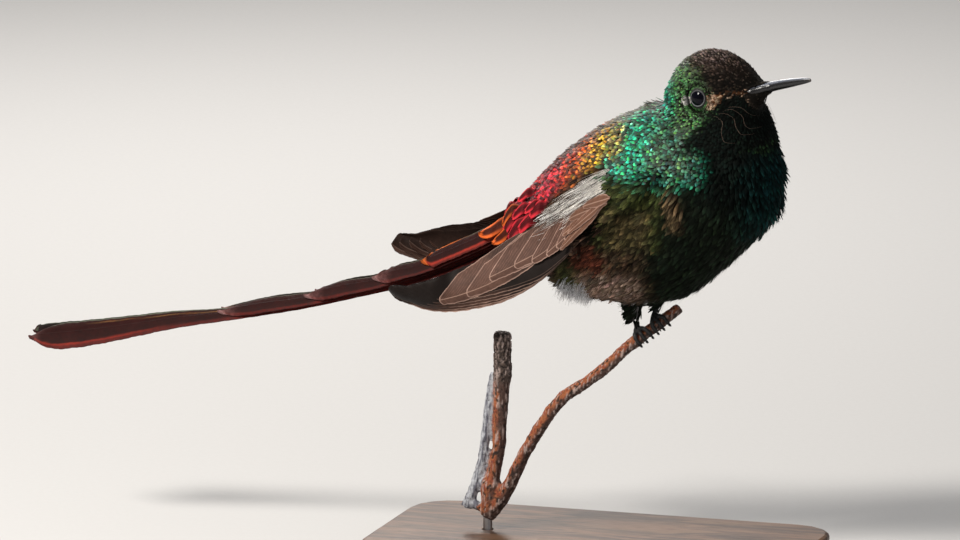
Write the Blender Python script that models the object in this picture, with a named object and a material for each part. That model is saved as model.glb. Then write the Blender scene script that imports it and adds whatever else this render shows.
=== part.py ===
"""Red-tailed comet, an adult male hummingbird, at rest on the end of a cut twig.

A still, life-size display model: the bird grips a forked twig, which one short rod holds over
a flat base. The bird faces +X with its right side towards -Y, its head turned to its right.
The origin is the middle of the underside of the base. Sizes are in millimetres until a mesh
is made, where MM turns them into metres.
"""
import math

import bmesh
import bpy
import numpy as np
from mathutils import Matrix, Vector

MM = 0.001
GAP = 0.3  # clearance between neighbouring solids

# Stand
BASE_LENGTH = 92.0
BASE_DEPTH = 50.0
BASE_HEIGHT = 5.0
BASE_CORNER = 9.0
BASE_ROUND = 0.8
ROD_RADIUS = 1.0
ROD_SINK = 2.5  # how far the rod runs up into the twig's cut end

# Perch: the middle of the twig between the feet. Every bird and twig place below is from here.
PERCH = Vector((12.0, 0.0, 50.0))
TWIG_RADIUS = 1.2

# Trunk
BODY_PITCH = 40.0  # slope of the trunk's axis, degrees
RING = 24          # points round a body section
# Sections of the trunk from the tail root up into the head:
# x, z, slope of the axis in degrees, half depth, half width
TRUNK_SECTIONS = (
    (-30.0, 19.6, 27.0, 3.9, 4.6),
    (-27.6, 18.4, 30.0, 7.6, 7.0),
    (-23.6, 16.9, 34.0, 11.4, 9.8),
    (-17.0, 17.8, BODY_PITCH, 15.6, 12.8),
    (-10.4, 20.4, BODY_PITCH, 18.8, 15.0),
    (-3.9, 23.9, BODY_PITCH, 20.7, 16.5),
    (2.8, 28.1, BODY_PITCH, 20.7, 17.0),
    (9.4, 32.7, 43.0, 19.4, 16.4),
    (14.5, 37.4, 52.0, 18.2, 15.0),
    (16.0, 43.2, 68.0, 14.4, 11.8),
    (15.2, 48.6, 84.0, 11.2, 9.4),
    (14.6, 53.4, 92.0, 7.2, 6.4),
)
TRUNK_STEPS = 18  # sections the trunk's loft is made of

# Head: its own frame has f along the bill, r to the bird's right and u up
HEAD_CENTRE = Vector((14.6, -1.0, 51.0))
HEAD_TURN = 20.7   # degrees to the bird's right
HEAD_LIFT = 19.5   # degrees up
# f, height above the axis, depth below it, half width
HEAD_SECTIONS = (
    (-11.2, 1.6, 1.8, 1.8),
    (-10.2, 4.6, 4.6, 4.3),
    (-7.6, 7.9, 7.4, 6.8),
    (-3.8, 9.9, 9.0, 8.2),
    (0.0, 10.4, 9.4, 8.6),
    (3.8, 9.6, 9.0, 8.0),
    (7.2, 7.3, 7.8, 6.4),
    (10.0, 4.2, 5.8, 4.3),
    (12.2, 1.4, 3.9, 2.4),
    (13.2, 0.0, 2.8, 1.5),
)

# Eye: where the ball's middle is in the head frame, and the dish of feathers round it
EYE_PLACE = (1.2, 5.75, 0.3)
EYE_RADIUS = 2.5
EYE_DISH_RADIUS = 3.0
EYE_DISH_OUT = 3.7

# Bill
BILL_ROOT = 8.5     # f where the bill starts inside the feathers
BILL_TIP = 25.8
BILL_DROP = 1.3     # the bill's axis below the head's axis
BILL_BEND = 1.0     # how far the tip curves down
BILL_WIDTH = 2.9    # at the feathers
BILL_HEIGHT = 2.5
BILL_TIP_SIZE = 0.5

# Tail: ten feathers under one curved ridge, five to a side, folded like a roof
TAIL_RIDGE = ((-32.9, 21.7), (-55.0, 9.4), (-85.0, -1.0), (-137.5, -7.3))
TAIL_LENGTHS = (19.0, 30.5, 46.0, 65.5, 107.5)
TAIL_LEFT_EXTRA = (-1.0, -1.5, -1.0, 0.5, 3.5)  # the left feathers reach this much further
TAIL_ROOF = 44.0    # slope of each side, degrees
TAIL_REACH = (4.9, 4.9, 4.8, 4.6, 4.5)   # each outer edge, down the slope from the ridge
TAIL_SPREAD = 0.22  # how much further out a feather reaches for each mm it lies deeper
TAIL_TIP_REACH = 7.7  # the outermost feather's broad end
TAIL_THICK = 0.5
TAIL_CROWN = 0.1    # how far each vane is arched
TAIL_PITCH = TAIL_THICK + GAP

# Folded wing, right side. Stations from the bend to the tip:
# x, upper edge y and z, lower edge y and z
WING_STATIONS = (
    (7.4, -15.4, 38.2, -16.2, 35.6),
    (4.2, -16.0, 37.8, -17.4, 31.6),
    (-3.6, -15.2, 33.4, -18.2, 24.6),
    (-11.2, -13.0, 29.2, -17.2, 18.2),
    (-18.6, -10.8, 24.6, -15.2, 10.6),
    (-26.4, -9.4, 20.2, -12.8, 6.4),
    (-34.2, -8.6, 14.8, -10.8, 4.3),
    (-42.2, -7.8, 10.6, -9.2, 3.0),
    (-49.6, -7.2, 8.3, -7.8, 3.4),
    (-54.2, -6.6, 6.8, -6.9, 5.0),
)
WING_BULGE = 1.3    # how far the blade's middle stands out
WING_THICK = 1.3
WING_TIP_THICK = 0.7
COVERT_END = -11.5  # x where the coverts stop and the long feathers show alone
SPLIT_HIGH = 0.56   # where secondaries meet primaries, as a share of the blade's depth
LEFT_WING_LIFT = 7.0  # degrees the left wing is held higher
LEFT_WING_BACK = 1.5

# Legs and feet
THIGH_TOPS = {"right": Vector((-2.6, -3.4, 9.0)), "left": Vector((3.0, 3.2, 11.0))}
THIGH_RADII = (2.9, 1.2)
KNEE_SHARE = 0.2  # where the bare shank ends, from the ankle up
FOOT_ALONG = {"right": -1.9, "left": 2.5}  # each foot's place along the twig
SHANK_RADIUS = 0.55
TOE_RADIUS = 0.42
TOE_SPREAD = (-1.5, 0.0, 1.5)
TOE_REACH = 118.0    # degrees round the twig
HIND_REACH = -104.0
CLAW_SWEEP = 44.0
CLAW_RADIUS = 0.3
TOE_STEPS = 5
CLAW_STEPS = 3

# Twig: points down the middle with the radius there
BRANCH = (
    ((5.7, 2.3, 4.6), 1.05), ((2.6, 1.0, 2.0), TWIG_RADIUS), ((0.0, 0.0, 0.0), TWIG_RADIUS),
    ((-4.4, -1.7, -3.6), TWIG_RADIUS), ((-8.5, -3.0, -7.8), 1.2), ((-12.6, -3.5, -11.2), 1.15),
    ((-17.6, -3.5, -14.6), 1.3), ((-20.6, -3.3, -18.0), 1.3), ((-23.2, -2.9, -22.0), 1.25),
    ((-27.0, -2.0, -28.0), 1.25), ((-30.0, -1.0, -34.2), 1.35), ((-32.8, 0.0, -38.6), 1.6),
    ((-35.6, 0.2, -42.0), 1.7),
)
STUB = (
    ((-32.3, 0.0, -2.9), 1.55), ((-32.3, 0.0, -6.6), 1.6), ((-32.3, 0.0, -12.0), 1.65),
    ((-32.7, 0.0, -19.4), 1.45), ((-33.1, 0.1, -27.2), 1.35), ((-34.2, 0.1, -33.0), 1.35),
    ((-35.5, 0.2, -37.4), 1.3),
)
GREY_STEM = (
    ((-34.7, 0.4, -11.4), 0.45), ((-35.3, 0.5, -16.6), 0.8), ((-36.0, 0.6, -23.6), 0.9),
    ((-36.9, 0.7, -30.6), 1.0), ((-38.7, 0.7, -36.6), 1.1), ((-40.4, 0.7, -40.6), 1.1),
)

# Principled BSDF looks: base colour, roughness, metallic
LOOKS = {
    "crown_green": ((0.05, 0.16, 0.07, 1.0), 0.45, 0.3),
    "throat_green": ((0.02, 0.12, 0.08, 1.0), 0.4, 0.3),
    "belly_olive": ((0.10, 0.10, 0.05, 1.0), 0.7, 0.0),
    "rump_crimson": ((0.45, 0.05, 0.05, 1.0), 0.45, 0.3),
    "wing_brown": ((0.12, 0.075, 0.055, 1.0), 0.6, 0.0),
    "tail_maroon": ((0.12, 0.02, 0.015, 1.0), 0.35, 0.3),
    "bill_black": ((0.02, 0.02, 0.024, 1.0), 0.35, 0.0),
    "eye_black": ((0.008, 0.007, 0.008, 1.0), 0.05, 0.0),
    "foot_black": ((0.03, 0.028, 0.028, 1.0), 0.6, 0.0),
    "bark": ((0.22, 0.11, 0.06, 1.0), 0.8, 0.0),
    "grey_wood": ((0.36, 0.35, 0.36, 1.0), 0.8, 0.0),
    "base_wood": ((0.10, 0.06, 0.04, 1.0), 0.4, 0.0),
    "rod_steel": ((0.45, 0.45, 0.46, 1.0), 0.3, 1.0),
}


# ---- Small helpers ----

def clear_scene():
    for item in list(bpy.data.objects):
        bpy.data.objects.remove(item, do_unlink=True)


def make_collection(name):
    group = bpy.data.collections.new(name)
    bpy.context.scene.collection.children.link(group)
    return group


def make_material(name):
    colour, rough, metallic = LOOKS[name]
    material = bpy.data.materials.new(name)
    material.use_nodes = True
    shader = material.node_tree.nodes["Principled BSDF"]
    shader.inputs["Base Color"].default_value = colour
    shader.inputs["Roughness"].default_value = rough
    shader.inputs["Metallic"].default_value = metallic
    material.diffuse_color = colour
    return material


def keep(item, look, smooth_angle=40.0):
    """Finishes a solid of the model: its material, its shading and its collection."""
    item.data.materials.clear()
    item.data.materials.append(materials[look])
    item.data.shade_smooth()
    item.data.set_sharp_from_angle(angle=math.radians(smooth_angle))
    return item


def hide_cutter(item):
    """Moves a tool for Booleans to the cutters' collection, where it isn't part of the model."""
    for group in list(item.users_collection):
        group.objects.unlink(item)
    cutters.objects.link(item)
    item.hide_render = True
    item.display_type = "WIRE"
    return item


def new_object(name, mesh):
    item = bpy.data.objects.new(name, mesh)
    model.objects.link(item)
    return item


def mesh_object(name, bm):
    """Turns a finished bmesh in millimetres into an object in metres."""
    bmesh.ops.scale(bm, vec=(MM, MM, MM), verts=bm.verts)
    bmesh.ops.recalc_face_normals(bm, faces=bm.faces)
    mesh = bpy.data.meshes.new(name)
    bm.to_mesh(mesh)
    bm.free()
    return new_object(name, mesh)


def loft(name, rings):
    """A closed solid through rings of points, each ring with the same number of points."""
    bm = bmesh.new()
    rows = [[bm.verts.new(point) for point in ring] for ring in rings]
    count = len(rows[0])
    for row, following in zip(rows, rows[1:]):
        for i in range(count):
            j = (i + 1) % count
            bm.faces.new((row[i], row[j], following[j], following[i]))
    bm.faces.new(list(reversed(rows[0])))
    bm.faces.new(rows[-1])
    bmesh.ops.recalc_face_normals(bm, faces=bm.faces)
    bmesh.ops.triangulate(bm, faces=bm.faces)
    return mesh_object(name, bm)


def tube(name, points, radii, sides_level=2):
    """A closed tapering tube along points, as a welded mesh."""
    curve = bpy.data.curves.new(name, "CURVE")
    curve.dimensions = "3D"
    curve.bevel_depth = MM
    curve.bevel_resolution = sides_level
    curve.use_fill_caps = True
    spline = curve.splines.new("POLY")
    spline.points.add(len(points) - 1)
    for spot, point, radius in zip(spline.points, points, radii):
        spot.co = (*(Vector(point) * MM), 1.0)
        spot.radius = radius
    bar = new_object(name + "_curve", curve)
    evaluated = bar.evaluated_get(bpy.context.evaluated_depsgraph_get())
    mesh = bpy.data.meshes.new_from_object(evaluated)
    item = new_object(name, mesh)
    item.matrix_world = bar.matrix_world.copy()
    bpy.data.objects.remove(bar, do_unlink=True)
    bm = bmesh.new()
    bm.from_mesh(mesh)
    bmesh.ops.remove_doubles(bm, verts=bm.verts, dist=0.002 * MM)
    bmesh.ops.recalc_face_normals(bm, faces=bm.faces)
    bm.to_mesh(mesh)
    bm.free()
    return item


def boolean(target, tool, operation):
    """Applies one Boolean and leaves the target as a plain mesh."""
    step = target.modifiers.new(operation.lower(), "BOOLEAN")
    step.operation = operation
    step.object = tool
    step.solver = "EXACT"
    evaluated = target.evaluated_get(bpy.context.evaluated_depsgraph_get())
    mesh = bpy.data.meshes.new_from_object(evaluated)
    target.modifiers.clear()
    target.data = mesh
    bm = bmesh.new()
    bm.from_mesh(mesh)
    bmesh.ops.triangulate(bm, faces=bm.faces)
    bmesh.ops.dissolve_degenerate(bm, dist=0.001 * MM, edges=bm.edges)
    bm.to_mesh(mesh)
    bm.free()


def cut(target, tool):
    boolean(target, tool, "DIFFERENCE")


def join(target, tool):
    boolean(target, tool, "UNION")
    bpy.data.objects.remove(tool, do_unlink=True)


def slice_between(source, name, planes):
    """A copy of source kept behind every plane, each a point in mm and an outward normal."""
    bm = bmesh.new()
    bm.from_mesh(source.data)
    for point, normal in planes:
        place = (Vector(point) + PERCH - Vector(normal).normalized() * (GAP / 2)) * MM
        geometry = bm.verts[:] + bm.edges[:] + bm.faces[:]
        bmesh.ops.bisect_plane(bm, geom=geometry, plane_co=place, plane_no=normal,
                               clear_outer=True, dist=0.001 * MM)
        rim = [edge for edge in bm.edges if edge.is_boundary]
        bmesh.ops.holes_fill(bm, edges=rim, sides=0)
    bmesh.ops.triangulate(bm, faces=bm.faces)
    mesh = bpy.data.meshes.new(name)
    bm.to_mesh(mesh)
    bm.free()
    return new_object(name, mesh)


def smooth_rows(rows, count):
    """Reads a table of sections as smooth curves, at count even steps of its own length."""
    table = np.array(rows, dtype=float)
    along = np.concatenate(([0.0], np.cumsum(np.linalg.norm(np.diff(table[:, :2], axis=0), axis=1))))
    wanted = np.linspace(0.0, along[-1], count)
    slopes = np.gradient(table, along, axis=0)
    spot = np.clip(np.searchsorted(along, wanted, side="right") - 1, 0, len(along) - 2)
    span = (along[spot + 1] - along[spot])[:, None]
    t = ((wanted - along[spot]) / span[:, 0])[:, None]
    return ((2 * t**3 - 3 * t**2 + 1) * table[spot] + (t**3 - 2 * t**2 + t) * span * slopes[spot]
            + (3 * t**2 - 2 * t**3) * table[spot + 1] + (t**3 - t**2) * span * slopes[spot + 1])


# ---- Trunk, neck and head ----

def head_axes():
    turn = math.radians(HEAD_TURN)
    lift = math.radians(HEAD_LIFT)
    ahead = Vector((math.cos(lift) * math.cos(turn), -math.cos(lift) * math.sin(turn), math.sin(lift)))
    right = Vector((-math.sin(turn), -math.cos(turn), 0.0))
    return ahead, right, right.cross(ahead)


def head_point(f, r, u):
    ahead, right, up = head_axes()
    return PERCH + HEAD_CENTRE + ahead * f + right * r + up * u


def trunk_rings():
    rings = []
    for x, z, slope, half_depth, half_width in smooth_rows(TRUNK_SECTIONS, TRUNK_STEPS):
        tilt = math.radians(slope)
        up = Vector((-math.sin(tilt), 0.0, math.cos(tilt)))
        middle = PERCH + Vector((x, 0.0, z))
        ring = []
        for i in range(RING):
            angle = 2 * math.pi * (i + 0.5) / RING
            side = Vector((0.0, -math.cos(angle) * half_width, 0.0))
            ring.append(middle + side + up * (math.sin(angle) * half_depth))
        rings.append(ring)
    return rings


def head_rings():
    rings = []
    for f, above, below, half_width in smooth_rows(HEAD_SECTIONS, 12):
        ring = []
        for i in range(RING):
            angle = 2 * math.pi * (i + 0.5) / RING
            reach = above if math.sin(angle) > 0 else below
            ring.append(head_point(f, math.cos(angle) * half_width, math.sin(angle) * reach))
        rings.append(ring)
    return rings


def make_flesh():
    """The whole feathered body as one solid, before it is parted."""
    flesh = loft("flesh", trunk_rings())
    join(flesh, loft("head_form", head_rings()))
    return flesh


def part_flesh(flesh):
    """Parts the body with thin flat cuts: head, neck, breast, and belly with rump."""
    head_cut = ((14.6, 0.0, 44.6), (-0.25, 0.15, -1.0))
    neck_cut = ((13.0, 0.0, 37.4), (-0.78, 0.0, -0.62))
    waist_cut = ((-5.0, 0.0, 24.0), (-0.77, 0.0, -0.64))

    def behind(cut_plane):
        point, normal = cut_plane
        return point, tuple(-value for value in normal)

    pieces = {
        "head": slice_between(flesh, "head", [head_cut]),
        "neck": slice_between(flesh, "neck", [behind(head_cut), neck_cut]),
        "trunk_breast": slice_between(flesh, "trunk_breast",
                                      [behind(head_cut), behind(neck_cut), waist_cut]),
        "trunk_rump": slice_between(flesh, "trunk_rump", [behind(waist_cut)]),
    }
    bpy.data.objects.remove(flesh, do_unlink=True)
    return pieces


# ---- Eyes and bill ----

def ball(name, centre, radius, segments=12, rings=8):
    bm = bmesh.new()
    bmesh.ops.create_uvsphere(bm, u_segments=segments, v_segments=rings, radius=radius)
    bmesh.ops.translate(bm, vec=centre, verts=bm.verts)
    return mesh_object(name, bm)


def make_eyes(head):
    for side, sign in (("right", 1.0), ("left", -1.0)):
        f, r, u = EYE_PLACE
        middle = head_point(f, r * sign, u)
        dish = head_point(f, (r + EYE_DISH_OUT) * sign, u)
        cut(head, hide_cutter(ball("socket_" + side, middle, EYE_RADIUS + GAP)))
        cut(head, hide_cutter(ball("dish_" + side, dish, EYE_DISH_RADIUS)))
        keep(ball("eye_" + side, middle, EYE_RADIUS), "eye_black", 180.0)


def bill_middle(t):
    """A point on the bill's axis, t from 0 at its root to 1 at its tip."""
    f = BILL_ROOT + (BILL_TIP - BILL_ROOT) * t
    return f, -BILL_DROP - BILL_BEND * t**2.2


def bill_rings(upper, grow=0.0):
    """Half-round sections of one half of the bill; grow widens it all round for a cutter."""
    steps = 9
    arc_points = 7
    sign = 1.0 if upper else -1.0
    rings = []
    for step in range(steps + 1):
        t = step / steps
        f, u = bill_middle(t)
        taper = (1 - t) ** 0.85
        width = (BILL_TIP_SIZE + (BILL_WIDTH - BILL_TIP_SIZE) * taper) / 2 + grow
        height = (BILL_TIP_SIZE + (BILL_HEIGHT - BILL_TIP_SIZE) * taper) / 2
        height = height * (1.0 if upper else 0.9) + 2 * grow
        if t == 1.0:
            width *= 0.5
            height *= 0.5
        if step == 0:
            f -= grow
        ring = []
        for i in range(arc_points):
            angle = math.pi * i / (arc_points - 1)
            rise = (GAP / 2 - grow + math.sin(angle) * height) * sign
            ring.append(head_point(f, math.cos(angle) * width, u + rise))
        rings.append(ring)
    return rings


def make_bill(head):
    for upper, name in ((True, "bill_upper"), (False, "bill_lower")):
        cut(head, hide_cutter(loft(name + "_cutter", bill_rings(upper, GAP))))
        keep(loft(name, bill_rings(upper)), "bill_black", 60.0)


# ---- Wings ----

def wing_rows(first_x, last_x):
    """Sections of the wing at even steps between two places along it."""
    table = smooth_rows([(x, zt, yt, yb, zb) for x, yt, zt, yb, zb in WING_STATIONS], 60)[::-1]
    count = max(round((first_x - last_x) / 3.0), 2) + 1
    places = np.linspace(first_x, last_x, count)
    return [np.array([np.interp(x, table[:, 0], table[:, k]) for k in range(5)]) for x in places]


def wing_place(row, depth, out):
    """A point on the right wing: depth 0 at its upper edge, 1 at its lower; out is outward."""
    x, top_z, top_y, low_y, low_z = row
    top = Vector((x, top_y, top_z))
    low = Vector((x, low_y, low_z))
    outward = Vector((0.0, -1.0, 0.0))
    inside = min(max(depth, 0.0), 1.0)
    bulge = WING_BULGE * 4 * inside * (1 - inside)
    return top.lerp(low, depth) + outward * (bulge + out)


def wing_to_side(point, side):
    """Puts a right-wing point on its own side; the left wing is held a little higher."""
    if side == "right":
        return PERCH + point
    mirrored = Vector((point.x - LEFT_WING_BACK, -point.y, point.z))
    pivot = Vector((4.0, 0.0, 34.0))
    lifted = Matrix.Rotation(math.radians(LEFT_WING_LIFT), 3, "Y") @ (mirrored - pivot)
    return PERCH + pivot + lifted


def blade(name, side, first_x, last_x, high, low, grow=0.0, thick_scale=1.0):
    """A stretch of the folded wing as a thin solid, between two depths across it."""
    across = 5
    rows = wing_rows(first_x, last_x)
    if grow:
        along = np.array([grow, 0.0, 0.0, 0.0, 0.0])
        rows = [rows[0] + along, *rows, rows[-1] - along]
    rings = []
    for i, row in enumerate(rows):
        share = i / (len(rows) - 1)
        thick = (WING_THICK + (WING_TIP_THICK - WING_THICK) * share) * thick_scale / 2 + grow
        edges = [high + (low - high) * k / (across - 1) for k in range(across)]
        span = max(row[1] - row[4], 1.0)
        edges[0] -= grow / span
        edges[-1] += grow / span
        outer = [wing_place(row, depth, thick) for depth in edges]
        inner = [wing_place(row, depth, -thick) for depth in reversed(edges)]
        rings.append([wing_to_side(point, side) for point in outer + inner])
    return loft(name, rings)


def make_wing(side, flesh_pieces):
    start = WING_STATIONS[0][0]
    end = WING_STATIONS[-1][0]
    half_gap = 0.016  # half a gap as a share of the blade's depth
    stretches = {
        "coverts": (start, COVERT_END, 0.0, 1.0),
        "secondaries": (COVERT_END - GAP * 2, end + 12.0, 0.0, SPLIT_HIGH - half_gap),
        "primaries": (COVERT_END - GAP * 2, end, SPLIT_HIGH + half_gap, 1.0),
    }
    for part, stretch in stretches.items():
        name = f"wing_{side}_{part}"
        for piece in flesh_pieces:
            cutter = blade(f"{name}_{piece.name}_cutter", side, *stretch, grow=GAP)
            cut(piece, hide_cutter(cutter))
        keep(blade(name, side, *stretch), "wing_brown")


# ---- Tail ----

def ridge_point(t):
    a, b, c, d = (Vector((x, 0.0, z)) for x, z in TAIL_RIDGE)
    return a * (1 - t)**3 + b * (3 * t * (1 - t)**2) + c * (3 * t * t * (1 - t)) + d * t**3


def ridge_at(distance):
    """The ridge's point and direction at a distance from its root, in mm."""
    steps = 400
    walked = 0.0
    before = ridge_point(0.0)
    for i in range(1, steps + 1):
        here = ridge_point(i / steps)
        stride = (here - before).length
        if walked + stride >= distance or i == steps:
            return here, (here - before).normalized()
        walked += stride
        before = here


def ease(value):
    value = min(max(value, 0.0), 1.0)
    return value * value * (3 - 2 * value)


def feather_length(number, side):
    return TAIL_LENGTHS[number] + (TAIL_LEFT_EXTRA[number] if side == "left" else 0.0)


def feather_depth(number, side, distance):
    """How far a feather lies under the ridge: one layer for each feather still above it."""
    settle = 8.0
    layers = sum(1.0 - ease((distance - feather_length(n, side)) / settle) for n in range(number))
    return TAIL_PITCH * layers


def feather_edges(number, share, depth):
    """A vane's inner and outer edge down the slope, share 0 at its root and 1 at its tip."""
    last = number == len(TAIL_LENGTHS) - 1
    roof = math.radians(TAIL_ROOF)
    inner = GAP / 2 / math.cos(roof) + (depth + TAIL_THICK) * math.tan(roof)
    outer = TAIL_REACH[number] + TAIL_SPREAD * depth
    if last:
        outer += (TAIL_TIP_REACH - outer) * ease((share - 0.6) / 0.36)
    outer = max(outer, inner + 1.8)
    round_off = 0.94 if last else 0.86
    if share > round_off:
        left = (share - round_off) / (1 - round_off)
        half = (outer - inner) / 2 * math.sqrt(max(1 - left * left, 0.03))
        middle = (outer + inner) / 2
        return middle - half, middle + half
    return inner, outer


def make_tail_feather(number, side):
    sign = -1.0 if side == "right" else 1.0
    length = feather_length(number, side)
    steps = 6 + 2 * number
    rings = []
    for step in range(steps + 1):
        share = 1 - (1 - step / steps) ** 1.3
        distance = GAP + length * share
        point, along = ridge_at(distance)
        up = Vector((along.z, 0.0, -along.x))
        roof = math.radians(TAIL_ROOF)
        slope = Vector((0.0, sign * math.cos(roof), 0.0)) - up * math.sin(roof)
        normal = Vector((0.0, sign * math.sin(roof), 0.0)) + up * math.cos(roof)
        depth = feather_depth(number, side, distance)
        inner, outer = feather_edges(number, share, depth)
        middle = (inner + outer) / 2
        half = (outer - inner) / 2
        ring = []
        for w, n in ((-1, 0.0), (-0.5, 0.0), (0, 0.0), (0.5, 0.0), (1, 0.0),
                     (1, 1.0), (0.5, 1.0), (0, 1.0), (-0.5, 1.0), (-1, 1.0)):
            crown = TAIL_CROWN * (1 - w * w)
            below = depth + n * TAIL_THICK - crown
            ring.append(PERCH + point + slope * (middle + w * half) - normal * below)
        rings.append(ring)
    name = f"tail_{side}_r{number + 1}"
    return keep(loft(name, rings), "tail_maroon")


def make_coverts():
    """The lobes of feathers over and under the root of the tail."""
    steps = 6
    roof = math.radians(TAIL_ROOF)
    rings = []
    for step in range(steps + 1):
        share = step / steps
        point, along = ridge_at(GAP * 1.5 + 7.5 * share)
        up = Vector((along.z, 0.0, -along.x))
        reach = 5.2 * math.sqrt(max(1 - share**2.5, 0.1))
        thick = 0.5 + 0.6 * (1 - share)
        lower = []
        upper = []
        for k in range(-4, 5):
            across = reach * k / 4
            drop = abs(across) * math.tan(roof) * 0.9
            base = PERCH + point + Vector((0.0, across, 0.0)) - up * drop
            lower.append(base + up * 0.6)
            lean = along * (-0.7 * (1 - share))
            upper.append(base + lean + up * (0.6 + thick * (1 - 0.5 * (k / 4)**2)))
        rings.append(lower + list(reversed(upper)))
    keep(loft("uppertail_coverts", rings), "rump_crimson")

    rings = []
    for step in range(steps + 1):
        share = step / steps
        point, along = ridge_at(0.8 + 17.0 * share)
        up = Vector((along.z, 0.0, -along.x))
        middle = PERCH + point - up * (12.2 - 1.4 * share)
        half_width = 4.2 * math.sqrt(max(1 - share**2.2, 0.05)) + 0.4
        half_depth = 1.9 * (1 - share) + 0.4
        ring = []
        for i in range(12):
            angle = 2 * math.pi * i / 12
            side = Vector((0.0, math.cos(angle) * half_width, 0.0))
            ring.append(middle + side + up * (math.sin(angle) * half_depth))
        rings.append(ring)
    keep(loft("undertail_coverts", rings), "belly_olive")


# ---- Legs and feet ----

def twig_axes():
    """The twig's direction at the feet, its upper side and the side the front toes wrap."""
    ahead = (Vector(BRANCH[1][0]) - Vector(BRANCH[3][0])).normalized()
    up = (Vector((0.0, 0.0, 1.0)) - ahead * ahead.z).normalized()
    return ahead, up, ahead.cross(up)


def grip_point(along, angle, radius):
    """A point beside the twig: degrees round it from its upper side, towards the front toes."""
    ahead, up, side = twig_axes()
    turn = math.radians(angle)
    return PERCH + ahead * along + (up * math.cos(turn) + side * math.sin(turn)) * radius


def toe_path(foot, spread, first, last, steps):
    radius = TWIG_RADIUS + GAP + TOE_RADIUS
    path = []
    for step in range(steps + 1):
        share = step / steps
        angle = first + (last - first) * share
        lean = min(abs(angle) / 60.0, 1.0)
        path.append(grip_point(foot + spread * lean, angle, radius))
    return path


def make_leg(side, rump, breast):
    foot = FOOT_ALONG[side]
    ankle = grip_point(foot, 0.0, TWIG_RADIUS + GAP + TOE_RADIUS)
    top = PERCH + THIGH_TOPS[side]
    knee = ankle.lerp(top, KNEE_SHARE)
    wide, narrow = THIGH_RADII
    thigh_points = [knee.lerp(top, k / 3) for k in range(4)]
    thigh_radii = [narrow + (wide - narrow) * k / 3 for k in range(4)]
    for piece in (rump, breast):
        cutter = tube(f"thigh_{side}_{piece.name}_cutter", thigh_points, [r + GAP for r in thigh_radii])
        cut(piece, hide_cutter(cutter))
    keep(tube(f"thigh_{side}", thigh_points, thigh_radii), "belly_olive")

    shank_end = ankle.lerp(knee, 1.0 - GAP / (knee - ankle).length)
    item = tube(f"foot_{side}", [ankle, shank_end], [SHANK_RADIUS, SHANK_RADIUS * 1.1])
    reaches = [(spread, TOE_REACH, "toe") for spread in TOE_SPREAD] + [(-0.9, HIND_REACH, "hind")]
    for number, (spread, reach, kind) in enumerate(reaches):
        start = -8.0 if kind == "toe" else 8.0
        path = toe_path(foot, spread, start, reach, TOE_STEPS)
        radii = [TOE_RADIUS * (1.15 - 0.25 * k / TOE_STEPS) for k in range(TOE_STEPS + 1)]
        join(item, tube(f"toe_{side}_{number}", path, radii))
        sweep = CLAW_SWEEP if reach > 0 else -CLAW_SWEEP
        clear = 12.0 if reach > 0 else -12.0
        claw_path = toe_path(foot, spread, reach + clear, reach + clear + sweep, CLAW_STEPS)
        claw_radii = [CLAW_RADIUS * (1.0 - 0.8 * k / CLAW_STEPS) for k in range(CLAW_STEPS + 1)]
        keep(tube(f"claw_{side}_{number + 1}", claw_path, claw_radii), "foot_black")
    keep(item, "foot_black")


# ---- Twig and stand ----

def make_perch():
    def rod(name, spots):
        return tube(name, [PERCH + Vector(place) for place, _ in spots], [r for _, r in spots], 3)

    def cutter(name, spots):
        grown = [(place, radius + GAP) for place, radius in spots]
        return hide_cutter(rod(name, grown))

    branch = rod("perch_branch", BRANCH)
    stub = rod("perch_stub", STUB)
    stem = rod("perch_grey_stem", GREY_STEM)
    cut(stub, cutter("branch_cutter_a", BRANCH))
    cut(stem, cutter("branch_cutter_b", BRANCH))
    cut(stem, cutter("stub_cutter", STUB))
    return branch, stub, stem


def make_stand(branch):
    bm = bmesh.new()
    bmesh.ops.create_cube(bm, size=1.0)
    bmesh.ops.scale(bm, vec=(BASE_LENGTH, BASE_DEPTH, BASE_HEIGHT), verts=bm.verts)
    bmesh.ops.translate(bm, vec=(0.0, 0.0, BASE_HEIGHT / 2), verts=bm.verts)
    uprights = [e for e in bm.edges if abs(e.verts[0].co.z - e.verts[1].co.z) > 1.0]
    bmesh.ops.bevel(bm, geom=uprights, offset=BASE_CORNER, segments=4, profile=0.5, affect="EDGES")
    rim = [e for e in bm.edges if min(v.co.z for v in e.verts) > BASE_HEIGHT - 0.01]
    bmesh.ops.bevel(bm, geom=rim, offset=BASE_ROUND, segments=2, profile=0.5, affect="EDGES")
    base = keep(mesh_object("stand_base", bm), "base_wood", 30.0)

    end = PERCH + Vector(BRANCH[-1][0])
    foot = Vector((end.x, end.y, BASE_HEIGHT - ROD_SINK))
    top = Vector((end.x, end.y, end.z + ROD_SINK))
    for piece in (base, branch):
        cutter = tube(f"rod_{piece.name}_cutter", [foot - Vector((0, 0, GAP)), top + Vector((0, 0, GAP))],
                      [ROD_RADIUS + GAP] * 2, 3)
        cut(piece, hide_cutter(cutter))
    keep(tube("stand_rod", [foot, top], [ROD_RADIUS] * 2, 3), "rod_steel", 60.0)


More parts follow.
